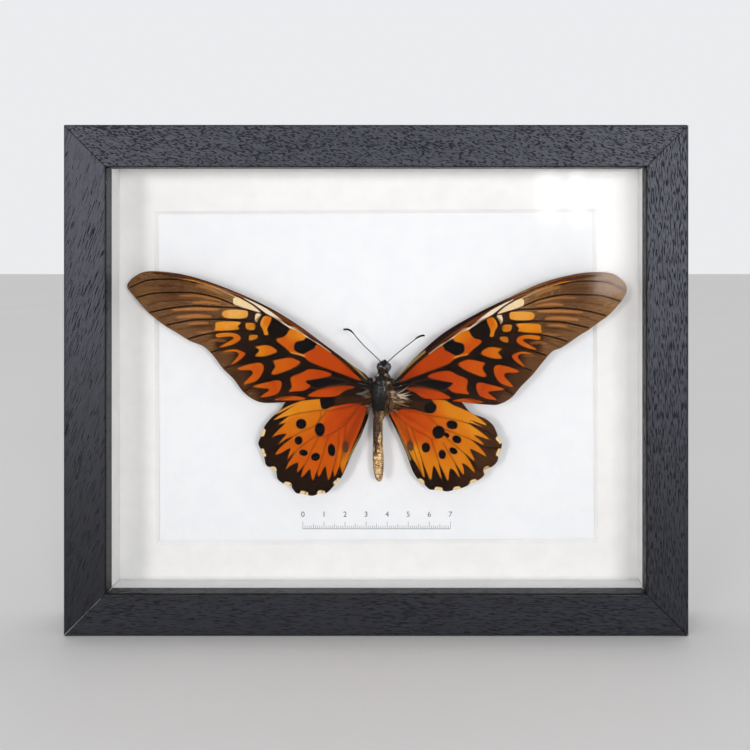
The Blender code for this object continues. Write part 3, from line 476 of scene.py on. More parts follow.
# Tufts at the wing bases: hairs, line they grow on, spread, direction, length, tints and radius
WING_TUFTS = {
    "right_wing_base_hair": (
        (190, (4.8, 107.4, 15.6), (6.8, 101.0, 16.2), 0.6,
         (1.0, 0.1, -0.12), 5.2, (0.1, 0.2, 0.35, 0.5, 0.7), 0.08),
        (34, (4.8, 108.2, 15.2), (6.0, 104.4, 15.4), 0.3,
         (1.0, -0.5, -0.1), 3.6, (0.7, 0.82, 0.92, 1.0), 0.13),
        (30, (6.4, 103.4, 15.5), (8.4, 101.8, 15.9), 0.35,
         (1.0, 0.4, -0.05), 6.6, (0.74, 0.88, 0.94, 1.0), 0.14),
        (26, (9.0, 105.6, 15.6), (10.6, 104.2, 15.9), 0.3,
         (1.0, -0.05, -0.03), 5.6, (0.8, 0.9, 0.98, 1.0), 0.14),
        (110, (5.0, 101.8, 16.0), (7.4, 98.0, 16.8), 0.5,
         (0.6, -0.8, -0.1), 3.0, (0.12, 0.3, 0.5, 0.88), 0.06),
        (110, (4.6, 112.6, 15.8), (6.4, 108.4, 15.8), 0.5,
         (0.8, 0.35, -0.1), 2.4, (0.08, 0.2, 0.35, 0.6), 0.05),
    ),
    "left_wing_base_hair": (
        (150, (-2.6, 107.8, 15.7), (-3.4, 101.2, 16.2), 0.5,
         (-1.0, 0.1, -0.12), 4.2, (0.1, 0.18, 0.3, 0.46), 0.07),
        (26, (-3.0, 106.8, 15.4), (-3.6, 103.0, 15.9), 0.4,
         (-1.0, 0.6, -0.1), 5.8, (0.5, 0.74, 0.86, 0.94), 0.1),
        (90, (-3.0, 102.0, 16.0), (-3.8, 98.4, 16.8), 0.5,
         (-0.5, -0.9, -0.1), 2.8, (0.2, 0.45, 0.8, 0.95), 0.06),
        (90, (-1.9, 112.8, 15.8), (-3.0, 108.8, 15.8), 0.5,
         (-0.8, 0.3, -0.1), 2.2, (0.05, 0.15, 0.3), 0.05),
    ),
}


def at(x, z, depth):
    """The point in metres at x and z in the front view and at this depth behind the frame's front."""
    return Vector((x * MM, (depth - FRAME_DEPTH / 2) * MM, z * MM))


def srgb(code):
    """A linear colour from a hex code."""
    channels = [int(code[start:start + 2], 16) / 255 for start in (1, 3, 5)]
    linear = [c / 12.92 if c <= 0.04045 else ((c + 0.055) / 1.055) ** 2.4 for c in channels]
    return (*linear, 1.0)


class Shader:
    """A material that is put together by short calls, each of which adds a node and links it."""

    def __init__(self, name):
        self.material = bpy.data.materials.new(name)
        self.material.use_nodes = True
        self.tree = self.material.node_tree
        self.surface = self.tree.nodes["Principled BSDF"]
        self.place = self.add("ShaderNodeTexCoord").outputs["Object"]

    def add(self, kind, inputs=None, **settings):
        node = self.tree.nodes.new(kind)
        for key, value in settings.items():
            setattr(node, key, value)
        for key, value in (inputs or {}).items():
            self.put(node.inputs[key], value)
        return node

    def put(self, socket, value):
        if isinstance(value, bpy.types.NodeSocket):
            self.tree.links.new(value, socket)
        else:
            socket.default_value = value

    def set(self, **values):
        """Sockets of the Principled shader, with underscores for spaces."""
        for key, value in values.items():
            self.put(self.surface.inputs[key.replace("_", " ")], value)

    def value(self, name):
        """A number that the mesh carries at each vertex."""
        return self.add("ShaderNodeAttribute", attribute_name=name).outputs["Fac"]

    def vector(self, name):
        return self.add("ShaderNodeAttribute", attribute_name=name).outputs["Vector"]

    def math(self, operation, first, second=0.0, third=0.0, clamp=False):
        inputs = {0: first, 1: second, 2: third}
        return self.add("ShaderNodeMath", inputs, operation=operation, use_clamp=clamp).outputs[0]

    def times(self, first, second, clamp=False):
        return self.math("MULTIPLY", first, second, clamp=clamp)

    def plus(self, first, second):
        return self.math("ADD", first, second)

    def minus(self, first, second, clamp=False):
        return self.math("SUBTRACT", first, second, clamp=clamp)

    def spread(self, value, width):
        """A value from 0 to 1 made into one of this width round 0."""
        return self.math("MULTIPLY_ADD", value, width, -width / 2)

    def stretch(self, scale, turn=(0, 0, 0), place=None):
        inputs = {"Vector": self.place if place is None else place, "Scale": scale, "Rotation": turn}
        return self.add("ShaderNodeMapping", inputs).outputs[0]

    def noise(self, scale, detail=2.0, roughness=0.5, place=None, distortion=0.0):
        inputs = {
            "Vector": self.place if place is None else place, "Scale": scale, "Detail": detail,
            "Roughness": roughness, "Distortion": distortion,
        }
        return self.add("ShaderNodeTexNoise", inputs).outputs["Fac"]

    def cells(self, scale):
        """The distance to the middle of small cells."""
        return self.add("ShaderNodeTexVoronoi", {"Vector": self.place, "Scale": scale}).outputs["Distance"]

    def step(self, value, low, high, start=0.0, end=1.0):
        """A smooth step between low and high."""
        inputs = {"Value": value, "From Min": low, "From Max": high, "To Min": start, "To Max": end}
        return self.add("ShaderNodeMapRange", inputs, interpolation_type="SMOOTHSTEP").outputs["Result"]

    def ramp(self, value, stops):
        """Colours along a value: stops are (position, hex code)."""
        node = self.add("ShaderNodeValToRGB", {"Fac": value})
        elements = node.color_ramp.elements
        while len(elements) < len(stops):
            elements.new(0.5)
        for element, (position, code) in zip(elements, stops):
            element.position = position
            element.color = srgb(code)
        return node.outputs["Color"]

    def mix(self, factor, first, second, blend="MIX"):
        node = self.add("ShaderNodeMix", data_type="RGBA", blend_type=blend)
        self.put(node.inputs[0], factor)
        self.put(node.inputs[6], srgb(first) if isinstance(first, str) else first)
        self.put(node.inputs[7], srgb(second) if isinstance(second, str) else second)
        return node.outputs[2]

    def shade(self, colour, value, low, high):
        """The colour made darker or lighter: value 0 gives low times it, and 1 gives high times it."""
        return self.dim(colour, self.step(value, 0.0, 1.0, low, high))

    def dim(self, colour, factor):
        """The colour times a factor."""
        grey = self.add("ShaderNodeCombineColor", {0: factor, 1: factor, 2: factor}).outputs[0]
        return self.mix(1.0, colour, grey, "MULTIPLY")

    def bump(self, height, strength, distance):
        inputs = {"Height": height, "Strength": strength, "Distance": distance}
        return self.add("ShaderNodeBump", inputs).outputs[0]

    def axis(self, index):
        """The place's x, y or z, in metres."""
        return self.add("ShaderNodeSeparateXYZ", {0: self.place}).outputs[index]


def show(name, mesh, material, slot, *replaced):
    """A piece of the scene that rides on the object."""
    made = bpy.data.objects.new(name, mesh)
    bpy.context.scene.collection.objects.link(made)
    if material is not None:
        mesh.materials.append(material)
    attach(made, "root")
    if replaced:
        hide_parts(*replaced)
    return made


def coat(material, *nodes):
    """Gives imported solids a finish."""
    for name in nodes:
        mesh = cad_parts[name].data
        mesh.materials.clear()
        mesh.materials.append(material)


def finished(bm, name):
    """A smooth mesh from what was put together, with its normals outward."""
    bmesh.ops.recalc_face_normals(bm, faces=bm.faces)
    mesh = bpy.data.meshes.new(name)
    bm.to_mesh(mesh)
    bm.free()
    mesh.shade_smooth()
    return mesh


def ring_skin(name, rings):
    """A closed skin through rings of points."""
    bm = bmesh.new()
    rings = [[bm.verts.new(point) for point in ring] for ring in rings]
    for first, second in zip(rings, rings[1:]):
        for corner in range(len(first)):
            following = (corner + 1) % len(first)
            bm.faces.new((first[corner], first[following], second[following], second[corner]))
    bm.faces.new(rings[0])
    bm.faces.new(rings[-1])
    return finished(bm, name)


def give(mesh, name, values):
    """Puts a number at each of the mesh's points, for the materials."""
    mesh.attributes.new(name, "FLOAT", "POINT").data.foreach_set("value", np.array(values, np.float32))


# Flat geometry on the wings' plane, in millimetres


def smooth(points, steps, closed=True):
    """A curve through the points, with steps pieces between each two."""
    points = np.array(points, float)
    if closed:
        chain = np.vstack([points[-1:], points, points[:2]])
    else:
        chain = np.vstack([2 * points[:1] - points[1:2], points, 2 * points[-1:] - points[-2:-1]])
    before, start, after, beyond = chain[:-3], chain[1:-2], chain[2:-1], chain[3:]
    found = []
    for step in range(steps):
        t = step / steps
        straight = 2 * start + (after - before) * t
        bend = (2 * before - 5 * start + 4 * after - beyond) * t**2
        turn = (3 * start - before - 3 * after + beyond) * t**3
        found.append((straight + bend + turn) / 2)
    curve = np.stack(found, 1).reshape(-1, points.shape[1])
    return curve if closed else np.vstack([curve, points[-1:]])


def evenly(curve, spacing):
    """A closed curve with its points the same distance apart."""
    loop = np.vstack([curve, curve[:1]])
    lengths = np.r_[0, np.cumsum(np.linalg.norm(np.diff(loop, axis=0), axis=1))]
    marks = np.linspace(0, lengths[-1], round(lengths[-1] / spacing), endpoint=False)
    return np.stack([np.interp(marks, lengths, loop[:, axis]) for axis in (0, 1)], 1)


def near(points, path, reach):
    """Which points lie within reach of the box round a path."""
    return np.all((points > path.min(0) - reach) & (points < path.max(0) + reach), axis=1)


def nowhere(points):
    """The value of a mark that isn't there."""
    return np.full(len(points), -MARK_REACH)


def spread_along(curve, values):
    """Values spread evenly along a curve."""
    return np.interp(np.linspace(0, 1, len(curve)), np.linspace(0, 1, len(values)), values)


def stroke(points, path, widths, reach=MARK_REACH, closed=False):
    """How far each point lies inside a brush stroke with these half widths, negative outside."""
    path = np.array(path, float)
    widths = np.broadcast_to(np.array(widths, float), len(path))
    found = np.full(len(points), -reach)
    chosen = near(points, path, reach)
    close = points[chosen]
    best = np.full(len(close), -reach)
    count = len(path) if closed else len(path) - 1
    for index in range(count):
        following = (index + 1) % len(path)
        start, run = path[index], path[following] - path[index]
        share = np.clip(((close - start) @ run) / max(run @ run, 1e-12), 0, 1)
        gap = close - start - share[:, None] * run
        width = widths[index] + (widths[following] - widths[index]) * share
        best = np.maximum(best, width - np.hypot(gap[:, 0], gap[:, 1]))
    found[chosen] = best
    return found


def inside(points, outline):
    odd = np.zeros(len(points), bool)
    chosen = near(points, outline, 0.01)
    x, z = points[chosen].T
    found = np.zeros(len(x), bool)
    for (x0, z0), (x1, z1) in zip(outline, np.roll(outline, -1, 0)):
        if z0 != z1:
            crosses = (z0 > z) != (z1 > z)
            found ^= crosses & (x < x0 + (z - z0) * (x1 - x0) / (z1 - z0))
    odd[chosen] = found
    return odd


def area(points, outline, reach=MARK_REACH):
    """How far each point lies inside a closed outline, negative outside."""
    outline = np.array(outline, float)
    outside = stroke(points, outline, 0.0, reach, closed=True)
    return np.where(inside(points, outline), -outside, outside)


def oval(points, x, z, half_width, half_height, turn):
    """How far each point lies inside an oval, about."""
    angle = math.radians(turn)
    dx, dz = points[:, 0] - x, points[:, 1] - z
    along = (dx * math.cos(angle) + dz * math.sin(angle)) / half_width
    across = (dz * math.cos(angle) - dx * math.sin(angle)) / half_height
    return (1 - np.hypot(along, across)) * min(half_width, half_height)


def blended(points, anchors, softness=2.5):
    """A value at each point, mixed from anchors (x, z, value) by how close they are."""
    total = np.zeros(len(points))
    weights = np.zeros(len(points))
    for x, z, value in anchors:
        gap = ((points[:, 0] - x) ** 2 + (points[:, 1] - z) ** 2) / softness**2
        weight = 1 / (gap + 0.15) ** 2
        total += weight * value
        weights += weight
    return total / weights


def soft_step(value, low, high):
    share = np.clip((value - low) / (high - low), 0, 1)
    return share * share * (3 - 2 * share)


def soft_strokes(points, strokes):
    """The strongest of some soft strokes (path, half width, strength) at each point."""
    found = np.zeros(len(points))
    for path, width, strength in strokes:
        curve = smooth(path, MARK_STEPS, closed=False)
        widths = width * np.sin(np.linspace(0.12, 0.88, len(curve)) * math.pi) ** 0.7
        mark = stroke(points, curve, widths)
        found = np.maximum(found, strength * soft_step(mark, -width * 0.7, width * 0.6))
    return found


def to_left(points):
    """The left forewing's place for points of the right one."""
    matrix = np.array([RIGHT_FOREWING_X[:2], RIGHT_FOREWING_Z[:2]])
    shift = np.array([RIGHT_FOREWING_X[2], RIGHT_FOREWING_Z[2]])
    return (points - shift) @ np.linalg.inv(matrix).T


def forewing_fields(points, side):
    """What each point of a forewing shows. The right wing looks its marks up on the left one."""
    if side == "right":
        points = to_left(points)
    patch = nowhere(points)
    for outline in FOREWING_PATCHES.values():
        patch = np.maximum(patch, area(points, smooth(outline, MARK_STEPS)))
    tone = blended(points, FOREWING_TONES)
    for outline in FOREWING_PALE_PATCHES.values():
        mark = area(points, smooth(outline, MARK_STEPS))
        tone = np.where(mark > patch, 0.94, tone)
        patch = np.maximum(patch, mark)
    for widths, line_tone, path in FOREWING_PALE_LINES:
        curve = smooth(path, MARK_STEPS, closed=False)
        mark = stroke(points, curve, spread_along(curve, widths))
        tone = np.where(mark > patch, line_tone, tone)
        patch = np.maximum(patch, mark)
    black = nowhere(points)
    for outline in FOREWING_SPOTS.values():
        black = np.maximum(black, area(points, smooth(outline, MARK_STEPS)))
    vein = nowhere(points)
    for path, width in FOREWING_VEINS:
        vein = np.maximum(vein, stroke(points, smooth(path, MARK_STEPS, closed=False), width))
    costa_curve = smooth(FOREWING_COSTA, MARK_STEPS, closed=False)
    ground = blended(points, FOREWING_GROUNDS, 3.0)
    if side == "right":
        tone = tone - 0.06 * soft_step(tone, 0.9, 0.8)
        # Painted reflection: the right wing's tip is painted lighter where the glass mirrors the window's
        # glare over it.
        ground += 0.16 * soft_step(-points[:, 0], 88, 112)
    return {
        "patch": patch,
        "tone": tone,
        "black": black,
        "vein": vein,
        "ground": ground,
        "streak": soft_strokes(points, FOREWING_STREAKS),
        "dusk": soft_strokes(points, FOREWING_SHADES),
        "costa": stroke(points, costa_curve, spread_along(costa_curve, FOREWING_COSTA_WIDTHS)),
        "band": nowhere(points),
        "khaki": stroke(points, smooth(FOREWING_KHAKI_LINE, MARK_STEPS, closed=False), 0.5),
        "grey": nowhere(points),
    }


def hindwing_fields(points, side):
    """What each point of a hindwing shows."""
    outline = {"left": LEFT_HINDWING_GROUND, "right": RIGHT_HINDWING_GROUND}[side]
    patch = area(points, smooth(outline, 2))
    tone = blended(points, HINDWING_TONES[side])
    for x, z in HINDWING_CRESCENTS[side]:
        mark = CRESCENT_RADIUS - np.hypot(points[:, 0] - x, points[:, 1] - z)
        mark = np.minimum(mark, CRESCENT_WIDTH - rim_distance(points, side))
        tone = np.where(mark > patch, 0.9, tone)
        patch = np.maximum(patch, mark)
    inner_rim = smooth(HINDWING_INNER_RIMS[side], MARK_STEPS, closed=False)
    black = area(points, smooth(HINDWING_COSTAL_PATCHES[side], MARK_STEPS))
    for spot in HINDWING_SPOTS[side]:
        black = np.maximum(black, oval(points, *spot))
    vein = nowhere(points)
    for path in HINDWING_VEINS[side]:
        curve = smooth(path, MARK_STEPS, closed=False)
        vein = np.maximum(vein, stroke(points, curve, HINDWING_VEIN_WIDTH))
    band = stroke(points, smooth(HINDWING_COSTAL_BANDS[side], MARK_STEPS, closed=False), 1.7)
    return {
        "patch": patch,
        "tone": tone,
        "black": black,
        "vein": vein,
        "ground": 0.18 + 0.24 * soft_step(points[:, 0], 30, 48),
        "streak": np.zeros(len(points)),
        "dusk": soft_strokes(points, HINDWING_SHADES[side]),
        "costa": nowhere(points),
        "band": band,
        "khaki": stroke(points, inner_rim, np.linspace(0.1, 0.45, len(inner_rim))),
        "grey": oval(points, *HINDWING_GREY_SPOTS[side]),
    }


def rim_distance(points, side):
    outline = {"left": LEFT_HINDWING, "right": RIGHT_HINDWING}[side]
    return -stroke(points, smooth(outline, OUTLINE_STEPS), 0.0, closed=True)


def wing_points(rim):
    """The rim's points and an even grid inside it."""
    rows = np.arange(rim[:, 1].min(), rim[:, 1].max(), WING_GRID * math.sqrt(3) / 2)
    grid = []
    for number, z in enumerate(rows):
        shift = number % 2 * WING_GRID / 2
        columns = np.arange(rim[:, 0].min() + shift, rim[:, 0].max(), WING_GRID)
        grid.append(np.stack([columns, np.full(len(columns), z)], 1))
    grid = np.vstack(grid)
    kept = grid[area(grid, rim, reach=2 * WING_GRID) > WING_GRID * 0.55]
    return np.vstack([rim, kept])


def make_wing(name, outline, fields_of, depth_at_root, tip_lift, material):
    """A thin sheet over a wing's outline, with raised veins and pleats, and its marks as values at points."""
    side = name.split("_")[0]
    rim = evenly(smooth(outline, OUTLINE_STEPS), WING_GRID)
    rim_edges = [(corner, (corner + 1) % len(rim)) for corner in range(len(rim))]
    flat = [Vector(point) for point in wing_points(rim)]
    flat, _, triangles, *_ = delaunay_2d_cdt(flat, rim_edges, [], 0, 0.0001, False)
    points = np.array([tuple(point) for point in flat])
    triangles = np.array(triangles)
    faces = triangles[inside(points[triangles].mean(1), rim)].tolist()
    fields = fields_of(points, side)
    root = np.array(WING_ROOTS[name])
    reach = np.linalg.norm(rim - root, axis=1).max()
    offset = points - root
    distance = np.linalg.norm(offset, axis=1)
    depth = depth_at_root - tip_lift * (distance / reach) ** 2
    vein_distance = np.clip(-fields["vein"], 0, 3)
    depth -= VEIN_RIDGE * np.exp(-(vein_distance / 0.3) ** 2)
    depth += PLEAT_DEPTH * soft_step(vein_distance, 0, 2.2)
    waves = [noise.noise(Vector((x / 9, z / 9, len(name)))) for x, z in points]
    depth -= 0.18 * np.array(waves)
    mesh = bpy.data.meshes.new(name + "_scales")
    corners = [at(x, z, d) for (x, z), d in zip(points, depth)]
    mesh.from_pydata(corners, [], faces)
    bm = bmesh.new()
    bm.from_mesh(mesh)
    bmesh.ops.recalc_face_normals(bm, faces=bm.faces)
    if bm.faces[0].normal.y > 0:
        bmesh.ops.reverse_faces(bm, faces=bm.faces)
    bm.to_mesh(mesh)
    bm.free()
    for field, values in fields.items():
        give(mesh, field, values)
    angle = np.arctan2(offset[:, 1], np.abs(offset[:, 0]))
    rays = np.stack([angle * 40, distance, np.zeros(len(points))], 1)
    attribute = mesh.attributes.new("ray", "FLOAT_VECTOR", "POINT")
    attribute.data.foreach_set("vector", rays.astype(np.float32).ravel())
    mesh.shade_smooth()
    wing = show(name + "_scales", mesh, material, "wing_scales", name)
    shell = wing.modifiers.new("thickness", "SOLIDIFY")
    shell.thickness = SHEET_THICKNESS * MM
    shell.offset = 0.0
    return wing


def wing_material():
    """Powdery scales: warm patches, dark ground, black spots and veins, with fine streaks along the rays."""
    s = Shader("wing_scales")
    ray = s.vector("ray")
    powder = s.noise(5200, 1.0)
    grain = s.noise(1500, 3.0, 0.6)
    rays = s.noise(1.0, 3.0, 0.6, s.stretch((2.2, 0.28, 1.0), place=ray))
    fine_rays = s.noise(1.0, 2.0, 0.6, s.stretch((7.0, 0.7, 1.0), place=ray))
    mottle = s.noise(260, 3.0, 0.6)
    wobble = s.spread(grain, 0.35)

    tone = s.plus(s.value("tone"), s.spread(rays, 0.16))
    tone = s.plus(tone, s.spread(mottle, 0.12))
    edge = s.value("patch")
    rim_light = s.step(edge, 0.75, 0.15)
    tone = s.plus(tone, s.times(rim_light, 0.04))
    warm = s.ramp(tone, (
        (0.0, "#561802"), (0.14, "#AC3802"), (0.28, "#BC4402"), (0.42, "#C65A04"), (0.54, "#CE700A"),
        (0.66, "#DC8A18"), (0.8, "#E2A24C"), (0.9, "#EECB84"), (1.0, "#E6D8BE"),
    ))
    warm = s.shade(warm, fine_rays, 0.82, 1.16)
    dusk = s.times(s.value("dusk"), s.math("MULTIPLY_ADD", rays, 0.5, 0.7), clamp=True)
    warm = s.mix(s.times(dusk, 0.8), warm, "#3A1C0C")

    ground_tone = s.plus(s.value("ground"), s.spread(rays, 0.36))
    middle = s.step(s.value("vein"), -0.35, -1.5, -0.05, 0.07)
    ground_tone = s.plus(ground_tone, s.times(middle, s.step(ground_tone, 0.35, 0.6)))
    ground_tone = s.plus(ground_tone, s.spread(grain, 0.10))
    ground_tone = s.minus(ground_tone, s.times(s.value("dusk"), 0.22), clamp=True)
    ground = s.ramp(ground_tone, (
        (0.0, "#090301"), (0.2, "#1F0F06"), (0.4, "#3A200F"), (0.6, "#5C3B20"), (0.8, "#7E5834"),
        (1.0, "#A88460"),
    ))
    costa = s.step(s.plus(s.value("costa"), wobble), -0.2, 0.25)
    costa_colour = s.mix(s.step(s.value("costa"), 0.25, 0.75), "#241004", "#6A300F")
    ground = s.mix(s.times(costa, 0.9), ground, s.shade(costa_colour, rays, 0.75, 1.35))
    streak = s.times(s.value("streak"), s.math("MULTIPLY_ADD", fine_rays, 0.5, 0.6), clamp=True)
    ground = s.mix(s.times(streak, 0.75), ground, "#BF7A3A")

    open_ground = s.step(ground_tone, 0.42, 0.6)
    beside = s.step(s.math("ABSOLUTE", s.plus(s.value("vein"), 0.5)), 0.3, 0.08)
    ground = s.mix(s.times(s.times(beside, open_ground), 0.3), ground, "#B58A58")
    flecks = s.step(s.plus(s.noise(1900, 1.5), s.times(s.noise(120), 0.3)), 0.83, 0.9)
    ground = s.mix(s.times(s.times(flecks, open_ground), 0.7), ground, "#CDB18C")
    colour = s.mix(s.step(s.plus(edge, wobble), -0.14, 0.2), ground, warm)
    band = s.step(s.plus(s.value("band"), wobble), -0.3, 0.3)
    colour = s.mix(s.times(band, 0.94), colour, s.mix(s.step(rays, 0.3, 0.7), "#120702", "#462610"))
    grey = s.step(s.plus(s.value("grey"), wobble), -0.25, 0.3)
    colour = s.mix(s.times(grey, 0.85), colour, "#362A24")
    khaki = s.step(s.plus(s.value("khaki"), wobble), -0.2, 0.3)
    colour = s.mix(s.times(khaki, 0.8), colour, s.mix(fine_rays, "#8A6A30", "#B09A5E"))
    halo = s.step(s.value("black"), -0.7, -0.1)
    colour = s.mix(s.times(halo, 0.1), colour, "#B0744A")
    colour = s.mix(s.step(s.plus(s.value("black"), wobble), -0.16, 0.16), colour, "#080405")
    vein = s.step(s.plus(s.value("vein"), s.times(wobble, 0.5)), -0.24, 0.06)
    vein = s.times(vein, s.step(s.value("black"), 0.1, -0.2))
    vein_colour = s.mix(s.step(s.value("patch"), -0.6, 0.2), "#160B05", "#5A2306")
    colour = s.mix(s.times(vein, s.step(s.value("patch"), -0.6, 0.2, 0.92, 0.66)), colour, vein_colour)
    colour = s.shade(colour, powder, 0.86, 1.12)

    height = s.plus(s.times(powder, 0.6), fine_rays)
    s.set(
        Base_Color=colour, Roughness=s.step(grain, 0.2, 0.8, 0.5, 0.72), Specular_IOR_Level=0.03,
        Normal=s.bump(height, 0.22, 0.00008),
    )
    return s.material


def make_wings():
    material = wing_material()
    wings = (
        ("left_forewing", LEFT_FOREWING, forewing_fields, FOREWING_DEPTH, FOREWING_TIP_LIFT),
        ("right_forewing", RIGHT_FOREWING, forewing_fields, FOREWING_DEPTH, FOREWING_TIP_LIFT),
        ("left_hindwing", LEFT_HINDWING, hindwing_fields, HINDWING_DEPTH, HINDWING_TIP_LIFT),
        ("right_hindwing", RIGHT_HINDWING, hindwing_fields, HINDWING_DEPTH, HINDWING_TIP_LIFT),
    )
    for name, outline, fields_of, depth, lift in wings:
        make_wing(name, outline, fields_of, depth, lift, material)


# Wood, boards, glass and steel


def rubbed_edges(s, across_turn):
    """Painted shade on a rail: dark lines along the arris of its lip and along the lip's back edge."""
    if across_turn:
        across, lip = s.axis(0), RAIL_LIP_X * MM
    else:
        across, lip = s.minus(s.axis(2), FRAME_HEIGHT / 2 * MM), RAIL_LIP_Z * MM
    arris = s.step(s.minus(s.math("ABSOLUTE", across), lip), 0.0007, 0.0002)
    depth = s.plus(s.axis(1), FRAME_DEPTH / 2 * MM)
    back = s.step(depth, (RAIL_LIP_DEPTH - 2.2) * MM, (RAIL_LIP_DEPTH - 1.2) * MM)
    front = s.step(depth, 0.0022, 0.0012)
    return s.times(arris, s.math("MAXIMUM", front, back))


def wood_material(name, across_turn, tilt, pores, cover, light):
    """Black-stained open-pored wood with its grain along x before the turn.

    The pores are short dark dashes, slanted by tilt degrees. pores is how many there are in a metre along and
    across the grain, cover is the noise level above which they open, and light is the tone at foot and top,
    which
    is painted light: the rail is painted darker where it would be shaded and lighter where it would be lit.
    """
    s = Shader(name)
    turned = s.stretch((1, 1, 1), turn=(0, math.radians(across_turn), 0))
    slanted = s.stretch((1, 1, 1), turn=(0, math.radians(tilt), 0), place=turned)
    along, across = pores
    grain = s.noise(1.0, 4.0, 0.65, s.stretch((30, 900, 900), place=turned), 0.3)
    broad = s.noise(1.0, 3.0, 0.6, s.stretch((14, 70, 70), place=turned), 0.4)
    dashes = s.noise(1.0, 0.6, 0.5, s.stretch((along, across, across), place=slanted), 0.15)
    narrow = s.stretch((along * 0.6, across * 2.4, across * 2.4), place=slanted)
    hairlines = s.noise(1.0, 1.0, 0.5, narrow, 0.1)
    level = s.step(broad, 0.35, 0.65, cover + 0.035, cover - 0.035)
    dash = s.step(s.minus(dashes, level), 0.0, 0.022)
    hairline = s.step(hairlines, cover + 0.02, cover + 0.06, 0.0, 0.6)
    open_pore = s.math("MAXIMUM", dash, hairline)
    # Painted light and shade: the colour runs from the painted tone at the rail's foot to the one at its top.
    painted_light_by_height = s.step(s.axis(2), 0.0, FRAME_HEIGHT * MM, *light)
    colour = s.mix(broad, "#2C2D34", "#353741")
    colour = s.shade(colour, grain, 0.8, 1.2)
    colour = s.dim(colour, painted_light_by_height)
    colour = s.mix(s.times(open_pore, 0.82), colour, "#07070B")
    # Painted shade along the lip's arris and back edge.
    colour = s.mix(s.times(rubbed_edges(s, across_turn), 0.85), colour, "#060609")
    height = s.minus(s.times(grain, 0.2), open_pore)
    s.set(
        Base_Color=colour, Roughness=s.math("MULTIPLY_ADD", open_pore, 0.3, 0.42), Specular_IOR_Level=0.25,
        Normal=s.bump(height, 0.6, 0.00018),
    )
    return s.material


def paper_material(name, base, tint, bump):
    """White board: faint mottling and short pressed fibres."""
    s = Shader(name)
    mottle = s.noise(90, 4.0, 0.6)
    fibres = s.noise(1.0, 3.0, 0.6, s.stretch((900, 2400, 2400)), 1.2)
    cross = s.noise(1.0, 3.0, 0.6, s.stretch((2400, 2400, 900)), 1.2)
    texture = s.times(s.plus(fibres, cross), 0.5)
    colour = s.mix(s.step(mottle, 0.3, 0.7), base, tint)
    colour = s.shade(colour, texture, 0.97, 1.02)
    s.set(
        Base_Color=colour, Roughness=s.step(texture, 0.2, 0.8, 0.72, 0.9), Specular_IOR_Level=0.25,
        Normal=s.bump(texture, bump, 0.00006),
    )
    return s.material


def fibreboard_material():
    s = Shader("brown_fibreboard")
    fibres = s.noise(1.0, 4.0, 0.7, s.stretch((500, 900, 900)), 1.5)
    cross = s.noise(1.0, 4.0, 0.7, s.stretch((900, 900, 500)), 1.5)
    flecks = s.noise(900, 3.0, 0.75)
    body = s.times(s.plus(fibres, cross), 0.5)
    colour = s.ramp(body, ((0.3, "#5A3D26"), (0.5, "#7C5839"), (0.68, "#9B7550")))
    colour = s.mix(s.step(flecks, 0.6, 0.7), colour, "#B08D66")
    colour = s.mix(s.step(flecks, 0.36, 0.28), colour, "#3A2616")
    s.set(
        Base_Color=colour, Roughness=s.step(body, 0.3, 0.7, 0.55, 0.8), Specular_IOR_Level=0.3,
        Normal=s.bump(s.plus(body, flecks), 0.4, 0.00015),
    )
    return s.material


def steel_material(name, base, light):
    """Rolled steel: fine brushed lines, a faint crystal pattern and dull spots."""
    s = Shader(name)
    brushed = s.noise(1.0, 3.0, 0.6, s.stretch((250, 4000, 4000)))
    crystal = s.cells(700)
    stain = s.noise(300, 4.0, 0.6)
    colour = s.mix(s.step(crystal, 0.1, 0.9), base, light)
    colour = s.shade(colour, stain, 0.78, 1.1)
    rough = s.plus(s.step(brushed, 0.2, 0.8, 0.22, 0.38), s.step(stain, 0.4, 0.8, 0.0, 0.15))
    s.set(Base_Color=colour, Metallic=1.0, Roughness=rough, Normal=s.bump(brushed, 0.25, 0.00004))
    return s.material


def glass_material():
    """Thin low-reflection picture glass: light passes straight through, and its faces mirror a part of it."""
    s = Shader("clear_glass")
    s.tree.nodes.remove(s.surface)
    fresnel = s.times(s.add("ShaderNodeFresnel", {"IOR": 1.5}).outputs[0], GLASS_REFLECTION)
    smear = s.noise(14, 3.0, 0.6)
    clear = s.add("ShaderNodeBsdfTransparent", {"Color": (0.985, 0.985, 0.985, 1)}).outputs[0]
    roughness = s.step(smear, 0.3, 0.7, 0.05, 0.08)
    gloss = s.add("ShaderNodeBsdfGlossy", {"Color": (1, 1, 1, 1), "Roughness": roughness})
    mixed = s.add("ShaderNodeMixShader", {0: fresnel, 1: clear, 2: gloss.outputs[0]})
    s.put(s.tree.nodes["Material Output"].inputs["Surface"], mixed.outputs[0])
    return s.material


def dress_frame():
    for side, wood in RAIL_WOOD.items():
        coat(wood_material(f"black_wood_{side}", *wood), f"frame_rail_{side}")
    coat(glass_material(), "glass_pane")
    coat(paper_material("white_mat_board", "#F8F7F6", "#F3F2F1", 0.35), "window_mat")
    coat(paper_material("white_card", "#F6F7F9", "#F2F4F7", 0.25), "backing_card")
    coat(paper_material("white_strip", "#F6F6F5", "#F0F0EF", 0.3), *[f"spacer_{side}" for side in RAIL_WOOD])
    coat(fibreboard_material(), "back_board")
    steel = steel_material("zinc_plated_steel", "#A9AAA8", "#C9CAC8")
    coat(steel, *[f"steel_tab_{count}" for count in range(1, 9)])
    coat(steel, "sawtooth_hanger", "hanger_rivet_left", "hanger_rivet_right")
    coat(steel_material("pin_steel", "#8E8F92", "#B4B5B8"), "specimen_pin")


# Body


def section_at(z):
    """The body's middle x, half width, middle depth and half depth at a height."""
    sections = np.array(BODY_SECTIONS)[::-1]
    return [float(np.interp(z, sections[:, 0], sections[:, column])) for column in (1, 2, 3, 4)]


